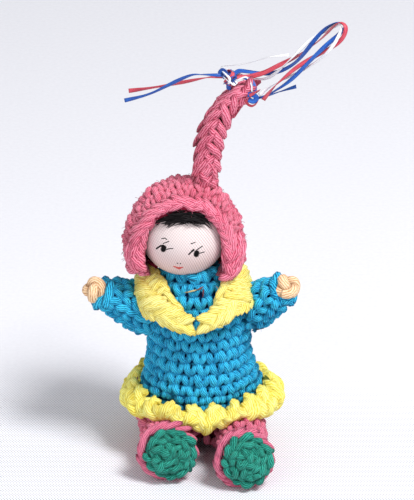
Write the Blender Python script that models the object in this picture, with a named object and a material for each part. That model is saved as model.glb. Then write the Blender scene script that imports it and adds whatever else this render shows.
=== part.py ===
"""A small seated crochet doll: tunic, trousers, pointed hood with a long tail, and a ribbon loop.

Metres, +Z up. The origin is the middle of the flat underside of the seat, and the doll faces -Y.
Left and right are those of someone who looks at its face.
"""

import math

import bmesh
import bpy
from mathutils import Matrix, Vector

# Yarn and clearances
GAP = 0.0003
ROW_HEIGHT = 0.0030
STITCH_RELIEF = 0.00050

# Legs, seat and soles
LEG_RADIUS = 0.0074
LEG_FLATTENING = 0.0004
LEG_SPACING = 0.0192
LEG_PAIR_OFFSET = 0.0008
LEG_REACH = {"left": 0.0222, "right": 0.0262}
LEG_YAW = math.radians(4.0)
LEG_STITCHES = 8
SOLE_RADIUS = 0.0061
SOLE_RECESS = 0.0008
SOLE_DOME = 0.0016
SOLE_TILT = math.radians(9.0)
SEAT_HALF_WIDTH = 0.0150
SEAT_HALF_DEPTH = 0.0105
SEAT_SETBACK = 0.0022

# Tunic
TUNIC_HEIGHT = 0.0353
TUNIC_FLATNESS = 0.85
TUNIC_STITCHES = 18
HEM_HALF_WIDTH = 0.0168
WAIST_HALF_WIDTH = 0.0143
CHEST_HALF_WIDTH = 0.0134
SHOULDER_HALF_WIDTH = 0.0121
NECK_HALF_WIDTH = 0.0074
LEAN_SIDEWAYS = -0.0050
LEAN_BACK = -0.0010
LEAN_CURVE = 1.6

# Sleeves and hands
SLEEVE_LENGTH = 0.0116
SLEEVE_ROOT_RADIUS = 0.0073
CUFF_RADIUS = 0.0050
SLEEVE_ROOT_HEIGHT = 0.64
SLEEVE_OVERLAP = 0.0060
SLEEVE_STITCHES = 7
ARM_DIRECTION = {"left": Vector((-0.87, -0.20, 0.47)), "right": Vector((0.66, -0.42, 0.62))}
HAND_RADIUS = 0.0029
HAND_LENGTH = 0.0052
HAND_TURN = 1.28

# Hem trim
HEM_TRIM_WIDTH = 0.0033
HEM_TRIM_RISE = 0.0024
HEM_TRIM_DROP = 0.0030
HEM_TRIM_EDGE = 0.0016
HEM_SCALLOPS = 18
HEM_SCALLOP_DEPTH = 0.0007

# Collar
COLLAR_THICKNESS = 0.0022
COLLAR_TIP_HEIGHT = 0.63
COLLAR_BACK_HEIGHT = 0.97
COLLAR_OUTER_DROP = 0.0034
COLLAR_TIP_RADIUS = 0.0120
COLLAR_BACK_RADIUS = 0.0088
COLLAR_OUTER_RADIUS = 0.0130
COLLAR_LAPEL_BULGE = 0.0028
COLLAR_STITCHES = 22

# Head, hair and hood
HEAD_RADIUS = 0.0110
NECK_SINK = 0.0020
HAIR_THICKNESS = 0.0012
HAIR_FRINGE_ANGLE = math.radians(33.0)
HAIR_TOP_ANGLE = math.radians(58.0)
HAIR_SPREAD = math.radians(42.0)
HOOD_THICKNESS = 0.0028
HOOD_FLARE = 0.0030
HOOD_FRONT = 0.0082
HOOD_HEM_HEIGHT = -0.0095
HOOD_STITCHES = 13
FACE_HALF_WIDTH = 0.0102
FACE_ARCH_RISE = 0.0092
TAIL_RADIUS = 0.0034
TAIL_TIP_RADIUS = 0.0027
TAIL_ROOT_RADIUS = 0.0044
TAIL_PLAIT_PITCH = 0.0026
TAIL_RELIEF = 0.00045

# Route of the tail's middle, from inside the crown to the tip, measured from the middle of the head
TAIL_ROUTE = (
    (0.0052, -0.0006, 0.0118),
    (0.0056, -0.0008, 0.0155),
    (0.0058, -0.0008, 0.0195),
    (0.0063, -0.0008, 0.0240),
    (0.0075, -0.0008, 0.0288),
    (0.0097, -0.0008, 0.0332),
    (0.0127, -0.0008, 0.0371),
    (0.0147, -0.0008, 0.0394),
)

# Ribbons: narrow flat cords, drawn as round ones of the same width
RIBBON_WIDTH = 0.0010
RIBBON_SPACING = 0.0015
RIBBON_TWIST_LENGTH = 0.0240
RIBBON_POINTS = 42

# Routes of the ribbons, measured from the tip of the tail
LOOP_ROUTE = (
    (-0.0036, 0.0010, 0.0030),
    (-0.0016, 0.0032, 0.0022),
    (0.0018, 0.0042, 0.0012),
    (0.0056, 0.0032, 0.0018),
    (0.0093, 0.0018, 0.0043),
    (0.0133, 0.0014, 0.0073),
    (0.0173, 0.0014, 0.0109),
    (0.0213, 0.0013, 0.0144),
    (0.0240, 0.0012, 0.0164),
    (0.0260, 0.0006, 0.0172),
    (0.0270, -0.0006, 0.0164),
    (0.0264, -0.0016, 0.0146),
    (0.0240, -0.0020, 0.0122),
    (0.0200, -0.0020, 0.0093),
    (0.0155, -0.0020, 0.0062),
    (0.0112, -0.0020, 0.0032),
    (0.0072, -0.0022, 0.0004),
    (0.0044, -0.0026, -0.0018),
)
BLUE_START = (
    (-0.0292, -0.0016, -0.0030),
    (-0.0230, -0.0022, -0.0010),
    (-0.0168, -0.0022, 0.0022),
    (-0.0126, -0.0016, 0.0038),
    (-0.0088, -0.0010, 0.0036),
    (-0.0062, -0.0008, 0.0034),
)
RED_START = (
    (-0.0282, 0.0002, -0.0012),
    (-0.0226, 0.0002, -0.0004),
    (-0.0168, 0.0004, 0.0006),
    (-0.0118, 0.0010, 0.0014),
    (-0.0086, 0.0012, 0.0020),
    (-0.0062, 0.0010, 0.0022),
)
WHITE_START = (
    (0.0112, 0.0068, 0.0056),
    (0.0064, 0.0074, 0.0048),
    (0.0022, 0.0072, 0.0036),
    (-0.0016, 0.0062, 0.0032),
    (-0.0044, 0.0048, 0.0036),
    (-0.0054, 0.0030, 0.0040),
)
BLUE_END = (
    (0.0030, -0.0008, -0.0027),
    (0.0041, 0.0012, -0.0034),
    (0.0070, 0.0022, -0.0030),
    (0.0100, 0.0020, -0.0018),
    (0.0130, 0.0016, -0.0006),
)

# Places worked out from the sizes above
LEG_AXIS_HEIGHT = LEG_RADIUS - LEG_FLATTENING
SEAT_TOP = LEG_AXIS_HEIGHT + LEG_RADIUS
TUNIC_FOOT = SEAT_TOP + GAP
HEAD_HEIGHT = TUNIC_FOOT + TUNIC_HEIGHT + HEAD_RADIUS - NECK_SINK
SIDES = {"left": -1.0, "right": 1.0}


def eased(share):
    """Rise smoothly from 0 to 1 as share goes from 0 to 1."""
    share = min(max(share, 0.0), 1.0)
    return share * share * (3.0 - 2.0 * share)


def mixed(start, end, share):
    """Go in a straight line from start to end."""
    return start + (end - start) * share


def through(points, share):
    """Point at a share of a smooth curve through the points, evenly spaced along it."""
    place = min(max(share, 0.0), 1.0) * (len(points) - 1)
    index = min(int(place), len(points) - 2)
    local = place - index
    before = points[max(index - 1, 0)]
    start, end = points[index], points[index + 1]
    after = points[min(index + 2, len(points) - 1)]
    slope_in = (end - before) * 0.5
    slope_out = (after - start) * 0.5
    square, cube = local * local, local ** 3
    return (start * (2.0 * cube - 3.0 * square + 1.0) + slope_in * (cube - 2.0 * square + local)
            + end * (3.0 * square - 2.0 * cube) + slope_out * (cube - square))


def evenly_along(route, count):
    """Points at equal steps along a smooth curve through a route."""
    fine = [through(route, step / 600.0) for step in range(601)]
    travelled = [0.0]
    for before, after in zip(fine, fine[1:]):
        travelled.append(travelled[-1] + (after - before).length)
    places = []
    step = 0
    for index in range(count):
        wanted = travelled[-1] * index / (count - 1)
        while step < len(fine) - 2 and travelled[step + 1] < wanted:
            step += 1
        share = (wanted - travelled[step]) / (travelled[step + 1] - travelled[step])
        places.append(mixed(fine[step], fine[step + 1], share))
    return places


def row_relief(row, stitch):
    """How far a crochet surface stands out, where row and stitch count half rows and half stitches."""
    if row % 2 == 0:
        return -STITCH_RELIEF
    return STITCH_RELIEF if (stitch + row // 2) % 2 == 0 else STITCH_RELIEF * 0.2


# Colours and materials

def linear(colour):
    """Turn 0-255 screen values into the linear values that a shader takes."""
    return tuple(((v / 255.0 + 0.055) / 1.055) ** 2.4 if v > 10 else v / 255.0 / 12.92 for v in colour)


def make_material(name, colour, roughness):
    """Plain finish with the piece's own colour."""
    material = bpy.data.materials.new(name)
    material.use_nodes = True
    shader = material.node_tree.nodes["Principled BSDF"]
    shader.inputs["Base Color"].default_value = (*linear(colour), 1.0)
    shader.inputs["Roughness"].default_value = roughness
    shader.inputs["Metallic"].default_value = 0.0
    material.diffuse_color = (*linear(colour), 1.0)
    return material


def make_materials():
    """One material for each kind of yarn, fabric, hair and ribbon."""
    return {
        "pink_yarn": make_material("pink_yarn", (206, 88, 120), 0.85),
        "rose_yarn": make_material("rose_yarn", (222, 100, 132), 0.85),
        "green_yarn": make_material("green_yarn", (38, 132, 110), 0.85),
        "blue_yarn": make_material("blue_yarn", (28, 140, 184), 0.85),
        "yellow_yarn": make_material("yellow_yarn", (244, 230, 118), 0.85),
        "peach_yarn": make_material("peach_yarn", (236, 188, 142), 0.8),
        "stocking": make_material("stocking", (236, 222, 220), 0.6),
        "hair_fibre": make_material("hair_fibre", (18, 15, 20), 0.7),
        "blue_ribbon": make_material("blue_ribbon", (38, 92, 176), 0.35),
        "red_ribbon": make_material("red_ribbon", (200, 62, 84), 0.35),
        "white_ribbon": make_material("white_ribbon", (245, 245, 248), 0.35),
    }


# Building blocks

def finish_body(name, mesh_data, anchor, material, parent):
    """Make the mesh an object whose origin is at the anchor point."""
    bmesh.ops.recalc_face_normals(mesh_data, faces=mesh_data.faces)
    bmesh.ops.translate(mesh_data, verts=mesh_data.verts, vec=-anchor)
    mesh = bpy.data.meshes.new(name)
    mesh_data.to_mesh(mesh)
    mesh_data.free()
    piece = bpy.data.objects.new(name, mesh)
    piece.location = anchor
    piece.parent = parent
    bpy.context.scene.collection.objects.link(piece)
    if material is not None:
        mesh.materials.append(material)
        mesh.shade_smooth()
        mesh.set_sharp_from_angle(angle=math.radians(32.0))
    return piece


def loft(rings, closed=False):
    """Skin a series of rings into one closed body, with flat ends unless the series is closed."""
    mesh_data = bmesh.new()
    rows = [[mesh_data.verts.new(point) for point in ring] for ring in rings]
    pairs = list(zip(rows, rows[1:]))
    if closed:
        pairs.append((rows[-1], rows[0]))
    for lower, upper in pairs:
        for index in range(len(lower)):
            following = (index + 1) % len(lower)
            mesh_data.faces.new((lower[index], lower[following], upper[following], upper[index]))
    if not closed:
        mesh_data.faces.new(rows[0])
        mesh_data.faces.new(rows[-1])
    return mesh_data


def ring_about(centre, across, upward, radii, count, relief=None):
    """Ring of points in the plane of two directions, with its own relief at each point."""
    points = []
    for index in range(count):
        turn = 2.0 * math.pi * index / count
        extra = relief(index) if relief else 0.0
        points.append(centre + across * ((radii[0] + extra) * math.cos(turn))
                      + upward * ((radii[1] + extra) * math.sin(turn)))
    return points


def hide_tool(tool):
    """Keep a cutting or joining shape out of the finished object."""
    tool.hide_render = True
    tool.display_type = "WIRE"


def combine(piece, tool, operation):
    """Cut or join one body with another."""
    modifier = piece.modifiers.new(tool.name, "BOOLEAN")
    modifier.operation = operation
    modifier.object = tool
    hide_tool(tool)


def box_body(low, high):
    """Block between two corners."""
    outline = ((low.x, low.y), (high.x, low.y), (high.x, high.y), (low.x, high.y))
    return loft([[Vector((x, y, z)) for x, y in outline] for z in (low.z, high.z)])


# Trousers and soles

def leg_frame(side):
    """Front end and forward direction of a leg's axis, and the direction across it."""
    sign = SIDES[side]
    front = Vector((LEG_PAIR_OFFSET + sign * LEG_SPACING / 2.0, -LEG_REACH[side], LEG_AXIS_HEIGHT))
    forward = Vector((math.sin(LEG_YAW), -math.cos(LEG_YAW), 0.0))
    across = Vector((math.cos(LEG_YAW), math.sin(LEG_YAW), 0.0))
    return front, forward, across


def leg_ring(side, back, radius, tilt_share, relief=None):
    """Ring round a leg at a distance behind its front end, leaning back where the sole does."""
    front, forward, across = leg_frame(side)
    upward = Vector((0.0, 0.0, 1.0)) - forward * (math.tan(SOLE_TILT) * tilt_share)
    return ring_about(front - forward * back, across, upward, (radius, radius), 2 * LEG_STITCHES, relief)


def leg_body(side):
    """Stuffed leg with crochet rounds, ending in a rim round the recess for the sole."""
    length = LEG_REACH[side] + SEAT_SETBACK
    rounds = 2 * max(2, round((length - ROW_HEIGHT) / ROW_HEIGHT))
    rings = []
    for row in range(rounds + 1):
        back = mixed(length, 0.5 * ROW_HEIGHT, row / rounds)
        lean = eased(1.0 - back / length)
        crest = LEG_RADIUS - STITCH_RELIEF
        rings.append(leg_ring(side, back, crest, lean, lambda stitch, row=row: row_relief(row, stitch)))
    rim = (LEG_RADIUS + SOLE_RADIUS) / 2.0
    rings.append(leg_ring(side, 0.0, rim, 1.0))
    rings.append(leg_ring(side, 0.0, SOLE_RADIUS + GAP, 1.0))
    rings.append(leg_ring(side, SOLE_RECESS, SOLE_RADIUS + GAP, 1.0))
    return loft(rings)


def sole_body(side):
    """Domed disc in concentric rounds, set in the end of a leg."""
    rings = [leg_ring(side, SOLE_RECESS - GAP, SOLE_RADIUS, 1.0)]
    steps = 6
    for step in range(steps):
        share = step / steps
        bulge = SOLE_DOME * (1.0 - (1.0 - share) ** 2) + (STITCH_RELIEF if step % 2 else 0.0)
        radius = SOLE_RADIUS * (1.0 - share)
        rings.append(leg_ring(side, -bulge - GAP, radius, 1.0))
    return loft(rings)


def seat_body():
    """Stuffed seat between the legs, flat on top where the tunic stands."""
    centre = Vector((0.0, SEAT_SETBACK, 0.0))
    steps = 8
    rings = []
    for step in range(steps + 1):
        share = step / steps
        swell = (1.0 - abs(2.0 * share - 1.0) ** 2.6) ** 0.5 if 0 < step < steps else 0.0
        swell = mixed(0.74, 1.0, swell) - STITCH_RELIEF / SEAT_HALF_WIDTH * (step % 2)
        height = mixed(-LEG_FLATTENING, SEAT_TOP, share)
        radii = (SEAT_HALF_WIDTH * swell, SEAT_HALF_DEPTH * swell)
        level = centre + Vector((0.0, 0.0, height))
        rings.append(ring_about(level, Vector((1.0, 0.0, 0.0)), Vector((0.0, 1.0, 0.0)), radii, 24))
    return loft(rings)


def add_trousers(materials, parent):
    """Seat and legs joined, and cut off flat where the doll sits."""
    trousers = finish_body("trousers", seat_body(), Vector((0.0, 0.0, 0.0)), materials["pink_yarn"], parent)
    for side in SIDES:
        leg = finish_body(f"leg_{side}", leg_body(side), leg_frame(side)[0], None, parent)
        combine(trousers, leg, "UNION")
    reach = 2.0 * (max(LEG_REACH.values()) + SEAT_HALF_WIDTH)
    floor = box_body(Vector((-reach, -reach, -reach)), Vector((reach, reach, 0.0)))
    combine(trousers, finish_body("floor_cut", floor, Vector((0.0, 0.0, 0.0)), None, parent), "DIFFERENCE")
    for side in SIDES:
        finish_body(f"sole_{side}", sole_body(side), leg_frame(side)[0], materials["green_yarn"], parent)


def trousers_top(place):
    """Height of the legs' upper side at a place seen from above, or the ground where there is none."""
    top = 0.0
    for side in SIDES:
        front, forward, across = leg_frame(side)
        offset = (place - front).dot(across)
        if abs(offset) < LEG_RADIUS:
            top = max(top, LEG_AXIS_HEIGHT + math.sqrt(LEG_RADIUS ** 2 - offset ** 2))
    return top


# Tunic

TUNIC_PROFILE = (
    (0.0, HEM_HALF_WIDTH),
    (0.35, WAIST_HALF_WIDTH),
    (0.62, CHEST_HALF_WIDTH),
    (0.77, SHOULDER_HALF_WIDTH),
    (0.86, mixed(SHOULDER_HALF_WIDTH, NECK_HALF_WIDTH, 0.45)),
    (0.93, mixed(SHOULDER_HALF_WIDTH, NECK_HALF_WIDTH, 0.86)),
    (1.0, NECK_HALF_WIDTH),
)


def body_middle(height):
    """Middle of the leaning body at a height above the ground."""
    share = max(height - TUNIC_FOOT, 0.0) / (HEAD_HEIGHT - TUNIC_FOOT)
    lean = share ** LEAN_CURVE
    return Vector((LEAN_SIDEWAYS * lean, LEAN_BACK * lean, height))


def tunic_half_width(height):
    """Half width of the tunic at a height above the ground."""
    share = min(max((height - TUNIC_FOOT) / TUNIC_HEIGHT, 0.0), 1.0)
    for (low, start), (high, end) in zip(TUNIC_PROFILE, TUNIC_PROFILE[1:]):
        if share <= high:
            return mixed(start, end, (share - low) / (high - low))
    return NECK_HALF_WIDTH


def tunic_point(height, turn, outward=0.0):
    """Point on the tunic at a height and an angle, where turn 0 is the front, or outside it."""
    half_width = tunic_half_width(height)
    return body_middle(height) + Vector((math.sin(turn) * (half_width + outward),
                                         -math.cos(turn) * (half_width * TUNIC_FLATNESS + outward), 0.0))


def tunic_body(outward=0.0, relief=True, top_extra=0.0):
    """Leaning stuffed body in crochet rounds, from its foot on the seat up to the neck."""
    rounds = 2 * max(4, round(TUNIC_HEIGHT / ROW_HEIGHT))
    count = 2 * TUNIC_STITCHES
    rings = []
    for row in range(rounds + 1):
        height = TUNIC_FOOT + TUNIC_HEIGHT * row / rounds
        if row == rounds:
            height += top_extra
        ring = []
        for stitch in range(count):
            extra = row_relief(row, stitch) if relief and 0 < row < rounds else 0.0
            ring.append(tunic_point(height, 2.0 * math.pi * stitch / count, outward + extra))
        rings.append(ring)
    return loft(rings)


def head_middle():
    """Middle of the head, set down into the neck."""
    return body_middle(HEAD_HEIGHT)


def ball_body(centre, radius, around=24, stacked=12):
    """Round ball with its poles above and below."""
    mesh_data = bmesh.new()
    bmesh.ops.create_uvsphere(mesh_data, u_segments=around, v_segments=stacked, radius=radius,
                              matrix=Matrix.Translation(centre))
    return mesh_data


def add_tunic(materials, parent, tools):
    """Tunic, with a hollow at the neck for the head."""
    tunic = finish_body("tunic", tunic_body(), body_middle(TUNIC_FOOT), materials["blue_yarn"], parent)
    combine(tunic, tools["head"], "DIFFERENCE")


# Sleeves and hands

def sleeve_frame(side):
    """Middle of the sleeve's root on the tunic, and three directions, the first along the arm."""
    height = TUNIC_FOOT + SLEEVE_ROOT_HEIGHT * TUNIC_HEIGHT
    along = ARM_DIRECTION[side].normalized()
    root = tunic_point(height, SIDES[side] * math.pi / 2.0)
    across = along.cross(Vector((0.0, 0.0, 1.0))).normalized()
    return root, along, across, across.cross(along).normalized()


def sleeve_body(side, outward=0.0, relief=True):
    """Tapered stuffed tube in crochet rounds, running on into the tunic's side."""
    root, along, across, upward = sleeve_frame(side)
    whole = SLEEVE_LENGTH + SLEEVE_OVERLAP
    rounds = 2 * max(3, round(whole / ROW_HEIGHT))
    rings = []
    for row in range(rounds + 1):
        place = mixed(-SLEEVE_OVERLAP, SLEEVE_LENGTH, row / rounds)
        radius = mixed(SLEEVE_ROOT_RADIUS, CUFF_RADIUS, max(place, 0.0) / SLEEVE_LENGTH)
        radius += outward - STITCH_RELIEF
        texture = (lambda stitch, row=row: row_relief(row, stitch)) if relief and row < rounds else None
        rings.append(ring_about(root + along * place, across, upward, (radius, radius),
                                2 * SLEEVE_STITCHES, texture))
    rings.append(ring_about(root + along * (SLEEVE_LENGTH + outward), across, upward,
                            (CUFF_RADIUS * 0.8 + outward, CUFF_RADIUS * 0.8 + outward), 2 * SLEEVE_STITCHES))
    return loft(rings)


def hand_body(side):
    """Short knot of yarn standing on the cuff."""
    root, along, across, upward = sleeve_frame(side)
    steps = 5
    rings = []
    for step in range(steps + 1):
        share = step / steps
        swell = math.sin(math.pi * mixed(0.28, 0.94, share))
        lump = STITCH_RELIEF if step % 2 else 0.0
        radius = HAND_RADIUS * swell + lump
        centre = root + along * (SLEEVE_LENGTH + GAP + HAND_LENGTH * share)
        rings.append(ring_about(centre, across, upward, (radius, radius * HAND_TURN), 10))
    return loft(rings)


def add_arms(materials, parent, tools):
    """Two sleeves, shaped to the tunic's sides, and their hands."""
    for side in SIDES:
        root = sleeve_frame(side)[0]
        sleeve = finish_body(f"sleeve_{side}", sleeve_body(side), root, materials["blue_yarn"], parent)
        combine(sleeve, tools["tunic"], "DIFFERENCE")
        finish_body(f"hand_{side}", hand_body(side), root, materials["peach_yarn"], parent)


# Hem trim

def over_trousers(point, rise=0.0):
    """Lift a point of the hem where a leg is under it."""
    lowest = trousers_top(point) + GAP + rise
    return Vector((point.x, point.y, max(point.z, lowest)))


def hem_section(turn, wave):
    """Points across the hem trim at an angle: up the inside, over the top and down the outside."""
    edge = HEM_TRIM_EDGE
    clear = STITCH_RELIEF + GAP
    reach = HEM_TRIM_WIDTH + HEM_SCALLOP_DEPTH * wave
    foot = TUNIC_FOOT
    drop = HEM_TRIM_DROP + HEM_SCALLOP_DEPTH * wave

    def at_foot(outward, height):
        return tunic_point(foot, turn, outward) + Vector((0.0, 0.0, height))

    return [
        over_trousers(at_foot(clear, 0.0), 0.2 * edge),
        tunic_point(foot + HEM_TRIM_RISE, turn, clear),
        tunic_point(foot + HEM_TRIM_RISE + HEM_SCALLOP_DEPTH * wave, turn, clear + 0.6 * edge),
        over_trousers(at_foot(reach - 0.4 * edge, 0.5 * HEM_TRIM_RISE), 1.3 * edge),
        over_trousers(at_foot(reach, -0.5 * drop), 0.6 * edge),
        over_trousers(at_foot(reach - 0.5 * edge, -drop)),
        over_trousers(at_foot(clear + 0.3 * edge, -0.8 * drop)),
    ]


def hem_body():
    """Scalloped edging that goes right round the foot of the tunic and rides over the legs."""
    count = 4 * HEM_SCALLOPS
    sections = []
    for index in range(count):
        turn = 2.0 * math.pi * index / count
        sections.append(hem_section(turn, math.cos(HEM_SCALLOPS * turn)))
    return loft(sections, closed=True)


# Collar

def collar_edges(turn):
    """Inner and outer edge of the collar at an angle round the neck, where 0 is the tip in front."""
    angle = abs(turn)
    tip = TUNIC_FOOT + COLLAR_TIP_HEIGHT * TUNIC_HEIGHT
    back = TUNIC_FOOT + COLLAR_BACK_HEIGHT * TUNIC_HEIGHT
    inner_height = mixed(tip, back, eased(angle / math.radians(50.0)))
    rise = eased((angle - math.radians(14.0)) / math.radians(70.0))
    outer_height = mixed(tip, back - COLLAR_OUTER_DROP, rise)
    inner_radius = mixed(COLLAR_TIP_RADIUS, COLLAR_BACK_RADIUS, eased(angle / math.radians(60.0)))
    bulge = COLLAR_LAPEL_BULGE * math.exp(-((angle - math.radians(52.0)) / math.radians(26.0)) ** 2)
    outer_radius = COLLAR_OUTER_RADIUS + bulge
    facing = Vector((math.sin(turn), -math.cos(turn), 0.0))
    return (body_middle(inner_height) + facing * inner_radius,
            body_middle(outer_height) + facing * outer_radius)


def collar_section(turn, row_wave, grown):
    """Points across the collar at an angle, from its inner edge to its outer edge and back beneath."""
    inner, outer = collar_edges(turn)
    width = outer - inner
    facing = Vector((math.sin(turn), -math.cos(turn), 0.0))
    along = Vector((math.cos(turn), math.sin(turn), 0.0))
    outward = width.cross(along)
    if outward.dot(facing + Vector((0.0, 0.0, 1.0))) < 0.0:
        outward = -outward
    outward.normalize()
    crest = COLLAR_THICKNESS + STITCH_RELIEF * row_wave + grown
    margin = grown / width.length
    profile = ((0.0, -0.4), (0.0, 0.6), (0.3, 0.95), (0.6, 0.85), (0.8, 1.0), (1.0, 0.6), (1.0, -0.4))
    return [inner + width * mixed(-margin, 1.0 + margin, share) + outward * (crest * level)
            for share, level in profile]


def collar_body(grown=0.0):
    """Band of crochet lying round the neck, with lapels that meet in front."""
    count = 2 * COLLAR_STITCHES
    sections = []
    for index in range(count):
        turn = math.pi * (2.0 * index / count - 1.0)
        wave = 1.0 if index % 2 or grown else -1.0
        sections.append(collar_section(turn, wave, grown))
    return loft(sections, closed=True)


def add_collar(materials, parent, tools):
    """Collar, hollowed beneath to lie on the tunic and the sleeves."""
    collar = finish_body("collar", collar_body(), body_middle(TUNIC_FOOT + TUNIC_HEIGHT),
                         materials["yellow_yarn"], parent)
    for tool in ("tunic", "sleeve_left", "sleeve_right"):
        combine(collar, tools[tool], "DIFFERENCE")


# Head, hair and hood

def hair_body(outward=0.0):
    """Tuft of hair on the forehead, a curved pad on the ball that goes in under the hood."""
    centre = head_middle()
    across = 8
    levels = 4
    spread = HAIR_SPREAD + outward / HEAD_RADIUS
    low = HAIR_FRINGE_ANGLE - outward / HEAD_RADIUS
    high = HAIR_TOP_ANGLE + outward / HEAD_RADIUS
    inner = HEAD_RADIUS + GAP - min(outward, GAP) * 1.5
    outer = HEAD_RADIUS + GAP + HAIR_THICKNESS + outward
    sections = []
    for index in range(across + 1):
        turn = mixed(-spread, spread, index / across)
        section = []
        for radius, order in ((inner, range(levels + 1)), (outer, range(levels, -1, -1))):
            for level in order:
                rise = mixed(low, high, level / levels)
                section.append(centre + radius * Vector((math.sin(turn) * math.cos(rise),
                                                         -math.cos(turn) * math.cos(rise), math.sin(rise))))
        sections.append(section)
    return loft(sections)


def hood_radius(turn):
    """Outer radius of the hood in a plane across the head, where turn 0 is straight up."""
    low = eased((abs(turn) - math.radians(60.0)) / math.radians(65.0))
    return HEAD_RADIUS + GAP + HOOD_THICKNESS + HOOD_FLARE * low


def hood_shell_body():
    """Outside of the hood as rounds that run parallel to its front edge, from the front to the back."""
    centre = head_middle()
    base = HEAD_RADIUS + GAP + HOOD_THICKNESS
    start = -math.asin(HOOD_FRONT / base)
    finish = math.radians(82.0)
    rounds = 2 * max(4, round(base * (finish - start) / ROW_HEIGHT))
    count = 2 * HOOD_STITCHES
    rings = []
    for row in range(rounds + 1):
        latitude = mixed(start, finish, row / rounds)
        ring = []
        for stitch in range(count):
            turn = math.pi * (2.0 * stitch / count - 1.0)
            relief = row_relief(row, stitch) if 0 < row < rounds else 0.0
            radius = (hood_radius(turn) + relief) * math.cos(latitude)
            ring.append(centre + Vector((radius * math.sin(turn), base * math.sin(latitude),
                                         radius * math.cos(turn))))
        rings.append(ring)
    return loft(rings)


def face_cutter_body():
    """Arch-shaped block that opens the hood's front from the forehead down past the jaw."""
    centre = head_middle()
    steps = 14
    outline = []
    for step in range(steps + 1):
        turn = math.pi * step / steps
        outline.append((FACE_HALF_WIDTH * math.cos(turn), FACE_ARCH_RISE * math.sin(turn)))
    deep = HEAD_RADIUS + HOOD_THICKNESS + HOOD_FLARE
    outline.append((-FACE_HALF_WIDTH, -2.0 * deep))
    outline.append((FACE_HALF_WIDTH, -2.0 * deep))
    front = [centre + Vector((x, -2.0 * deep, z)) for x, z in outline]
    back = [centre + Vector((x, -0.25 * HEAD_RADIUS, z)) for x, z in outline]
    return loft([front, back])


def tail_points():
    """Middle line of the hood's tail in the doll's own frame."""
    return [head_middle() + Vector(point) for point in TAIL_ROUTE]


def tail_body():
    """Plaited tail: a swept cord whose two columns of strands cross from side to side."""
    points = tail_points()
    length = sum((after - before).length for before, after in zip(points, points[1:]))
    steps = 2 * round(length / TAIL_PLAIT_PITCH)
    rings = []
    for step in range(steps + 1):
        share = step / steps
        centre = through(points, share)
        direction = (through(points, share + 0.5 / steps) - through(points, share - 0.5 / steps)).normalized()
        across = Vector((0.0, -1.0, 0.0)).cross(direction).normalized()
        frontward = across.cross(direction).normalized()
        root = math.exp(-share * 9.0)
        radius = mixed(TAIL_RADIUS, TAIL_TIP_RADIUS, eased((share - 0.5) * 2.0))
        radius += (TAIL_ROOT_RADIUS - TAIL_RADIUS) * root
        radius *= math.sqrt(max(0.12, 1.0 - max(0.0, (share - 0.93) / 0.07) ** 2 * 0.85))

        def strand(index, step=step):
            if index % 4 == 2:
                return -1.6 * TAIL_RELIEF
            column = 1 if 2 < index < 6 else 0
            return TAIL_RELIEF if (step + column) % 2 else -0.6 * TAIL_RELIEF

        rings.append(ring_about(centre, across, frontward, (radius, radius), 8, strand))
    return loft(rings)


def add_head(materials, parent):
    """Covered ball, and the tuft of hair on it."""
    finish_body("head", ball_body(head_middle(), HEAD_RADIUS), head_middle(), materials["stocking"], parent)
    finish_body("hair", hair_body(), head_middle(), materials["hair_fibre"], parent)


def add_hood(materials, parent, tools):
    """Hood round the head, open for the face and cut level above the collar, with its tail."""
    centre = head_middle()
    hood = finish_body("hood", hood_shell_body(), centre, materials["rose_yarn"], parent)
    tail = finish_body("tail", tail_body(), centre, None, parent)
    combine(hood, tail, "UNION")
    wide = 3.0 * HEAD_RADIUS
    hem = centre + Vector((0.0, 0.0, HOOD_HEM_HEIGHT))
    below = box_body(hem + Vector((-wide, -wide, -wide)), hem + Vector((wide, wide, 0.0)))
    face = finish_body("face_cut", face_cutter_body(), centre, None, parent)
    level = finish_body("hood_hem_cut", below, hem, None, parent)
    for tool in (face, level, tools["head"], tools["hair"], tools["tunic_top"], tools["collar"]):
        combine(hood, tool, "DIFFERENCE")


# Ribbons

def add_ribbon(name, route, materials, parent):
    """Round stand-in for a narrow flat ribbon, along a smooth curve through its route."""
    curve = bpy.data.curves.new(name, "CURVE")
    curve.dimensions = "3D"
    curve.bevel_depth = RIBBON_WIDTH / 2.0
    curve.bevel_resolution = 2
    curve.use_fill_caps = True
    spline = curve.splines.new("POLY")
    spline.points.add(RIBBON_POINTS - 1)
    tip = tail_points()[-1]
    for point, place in zip(spline.points, evenly_along(route, RIBBON_POINTS)):
        point.co = (*place, 1.0)
    ribbon = bpy.data.objects.new(name, curve)
    ribbon.location = tip
    ribbon.parent = parent
    curve.materials.append(materials[name.replace("ribbon_", "") + "_ribbon"])
    bpy.context.scene.collection.objects.link(ribbon)


def loop_strand(phase):
    """One strand of the loop, winding round the others along the loop's shared middle line."""
    middle = [Vector(point) for point in LOOP_ROUTE]
    length = sum((after - before).length for before, after in zip(middle, middle[1:]))
    lay = RIBBON_SPACING / math.sqrt(3.0)
    count = 2 * len(middle)
    across = Vector((0.0, 0.0, 1.0))
    strand = []
    for index in range(count + 1):
        share = index / count
        direction = (through(middle, share + 0.02) - through(middle, share - 0.02)).normalized()
        across = (across - direction * across.dot(direction)).normalized()
        depth = across.cross(direction)
        turn = 2.0 * math.pi * (share * length / RIBBON_TWIST_LENGTH + phase)
        offset = across * math.cos(turn) + depth * math.sin(turn)
        strand.append(through(middle, share) + offset * lay)
    return strand


def add_ribbons(materials, parent):
    """Three ribbons laid together as a hanging loop, with their loose ends."""
    for name, start, phase, end in (("ribbon_blue", BLUE_START, 0.75, BLUE_END),
                                    ("ribbon_red", RED_START, 0.42, ()),
                                    ("ribbon_white", WHITE_START, 0.08, ())):
        route = [Vector(point) for point in start] + loop_strand(phase) + [Vector(point) for point in end]
        add_ribbon(name, route, materials, parent)


# Assembly

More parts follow.
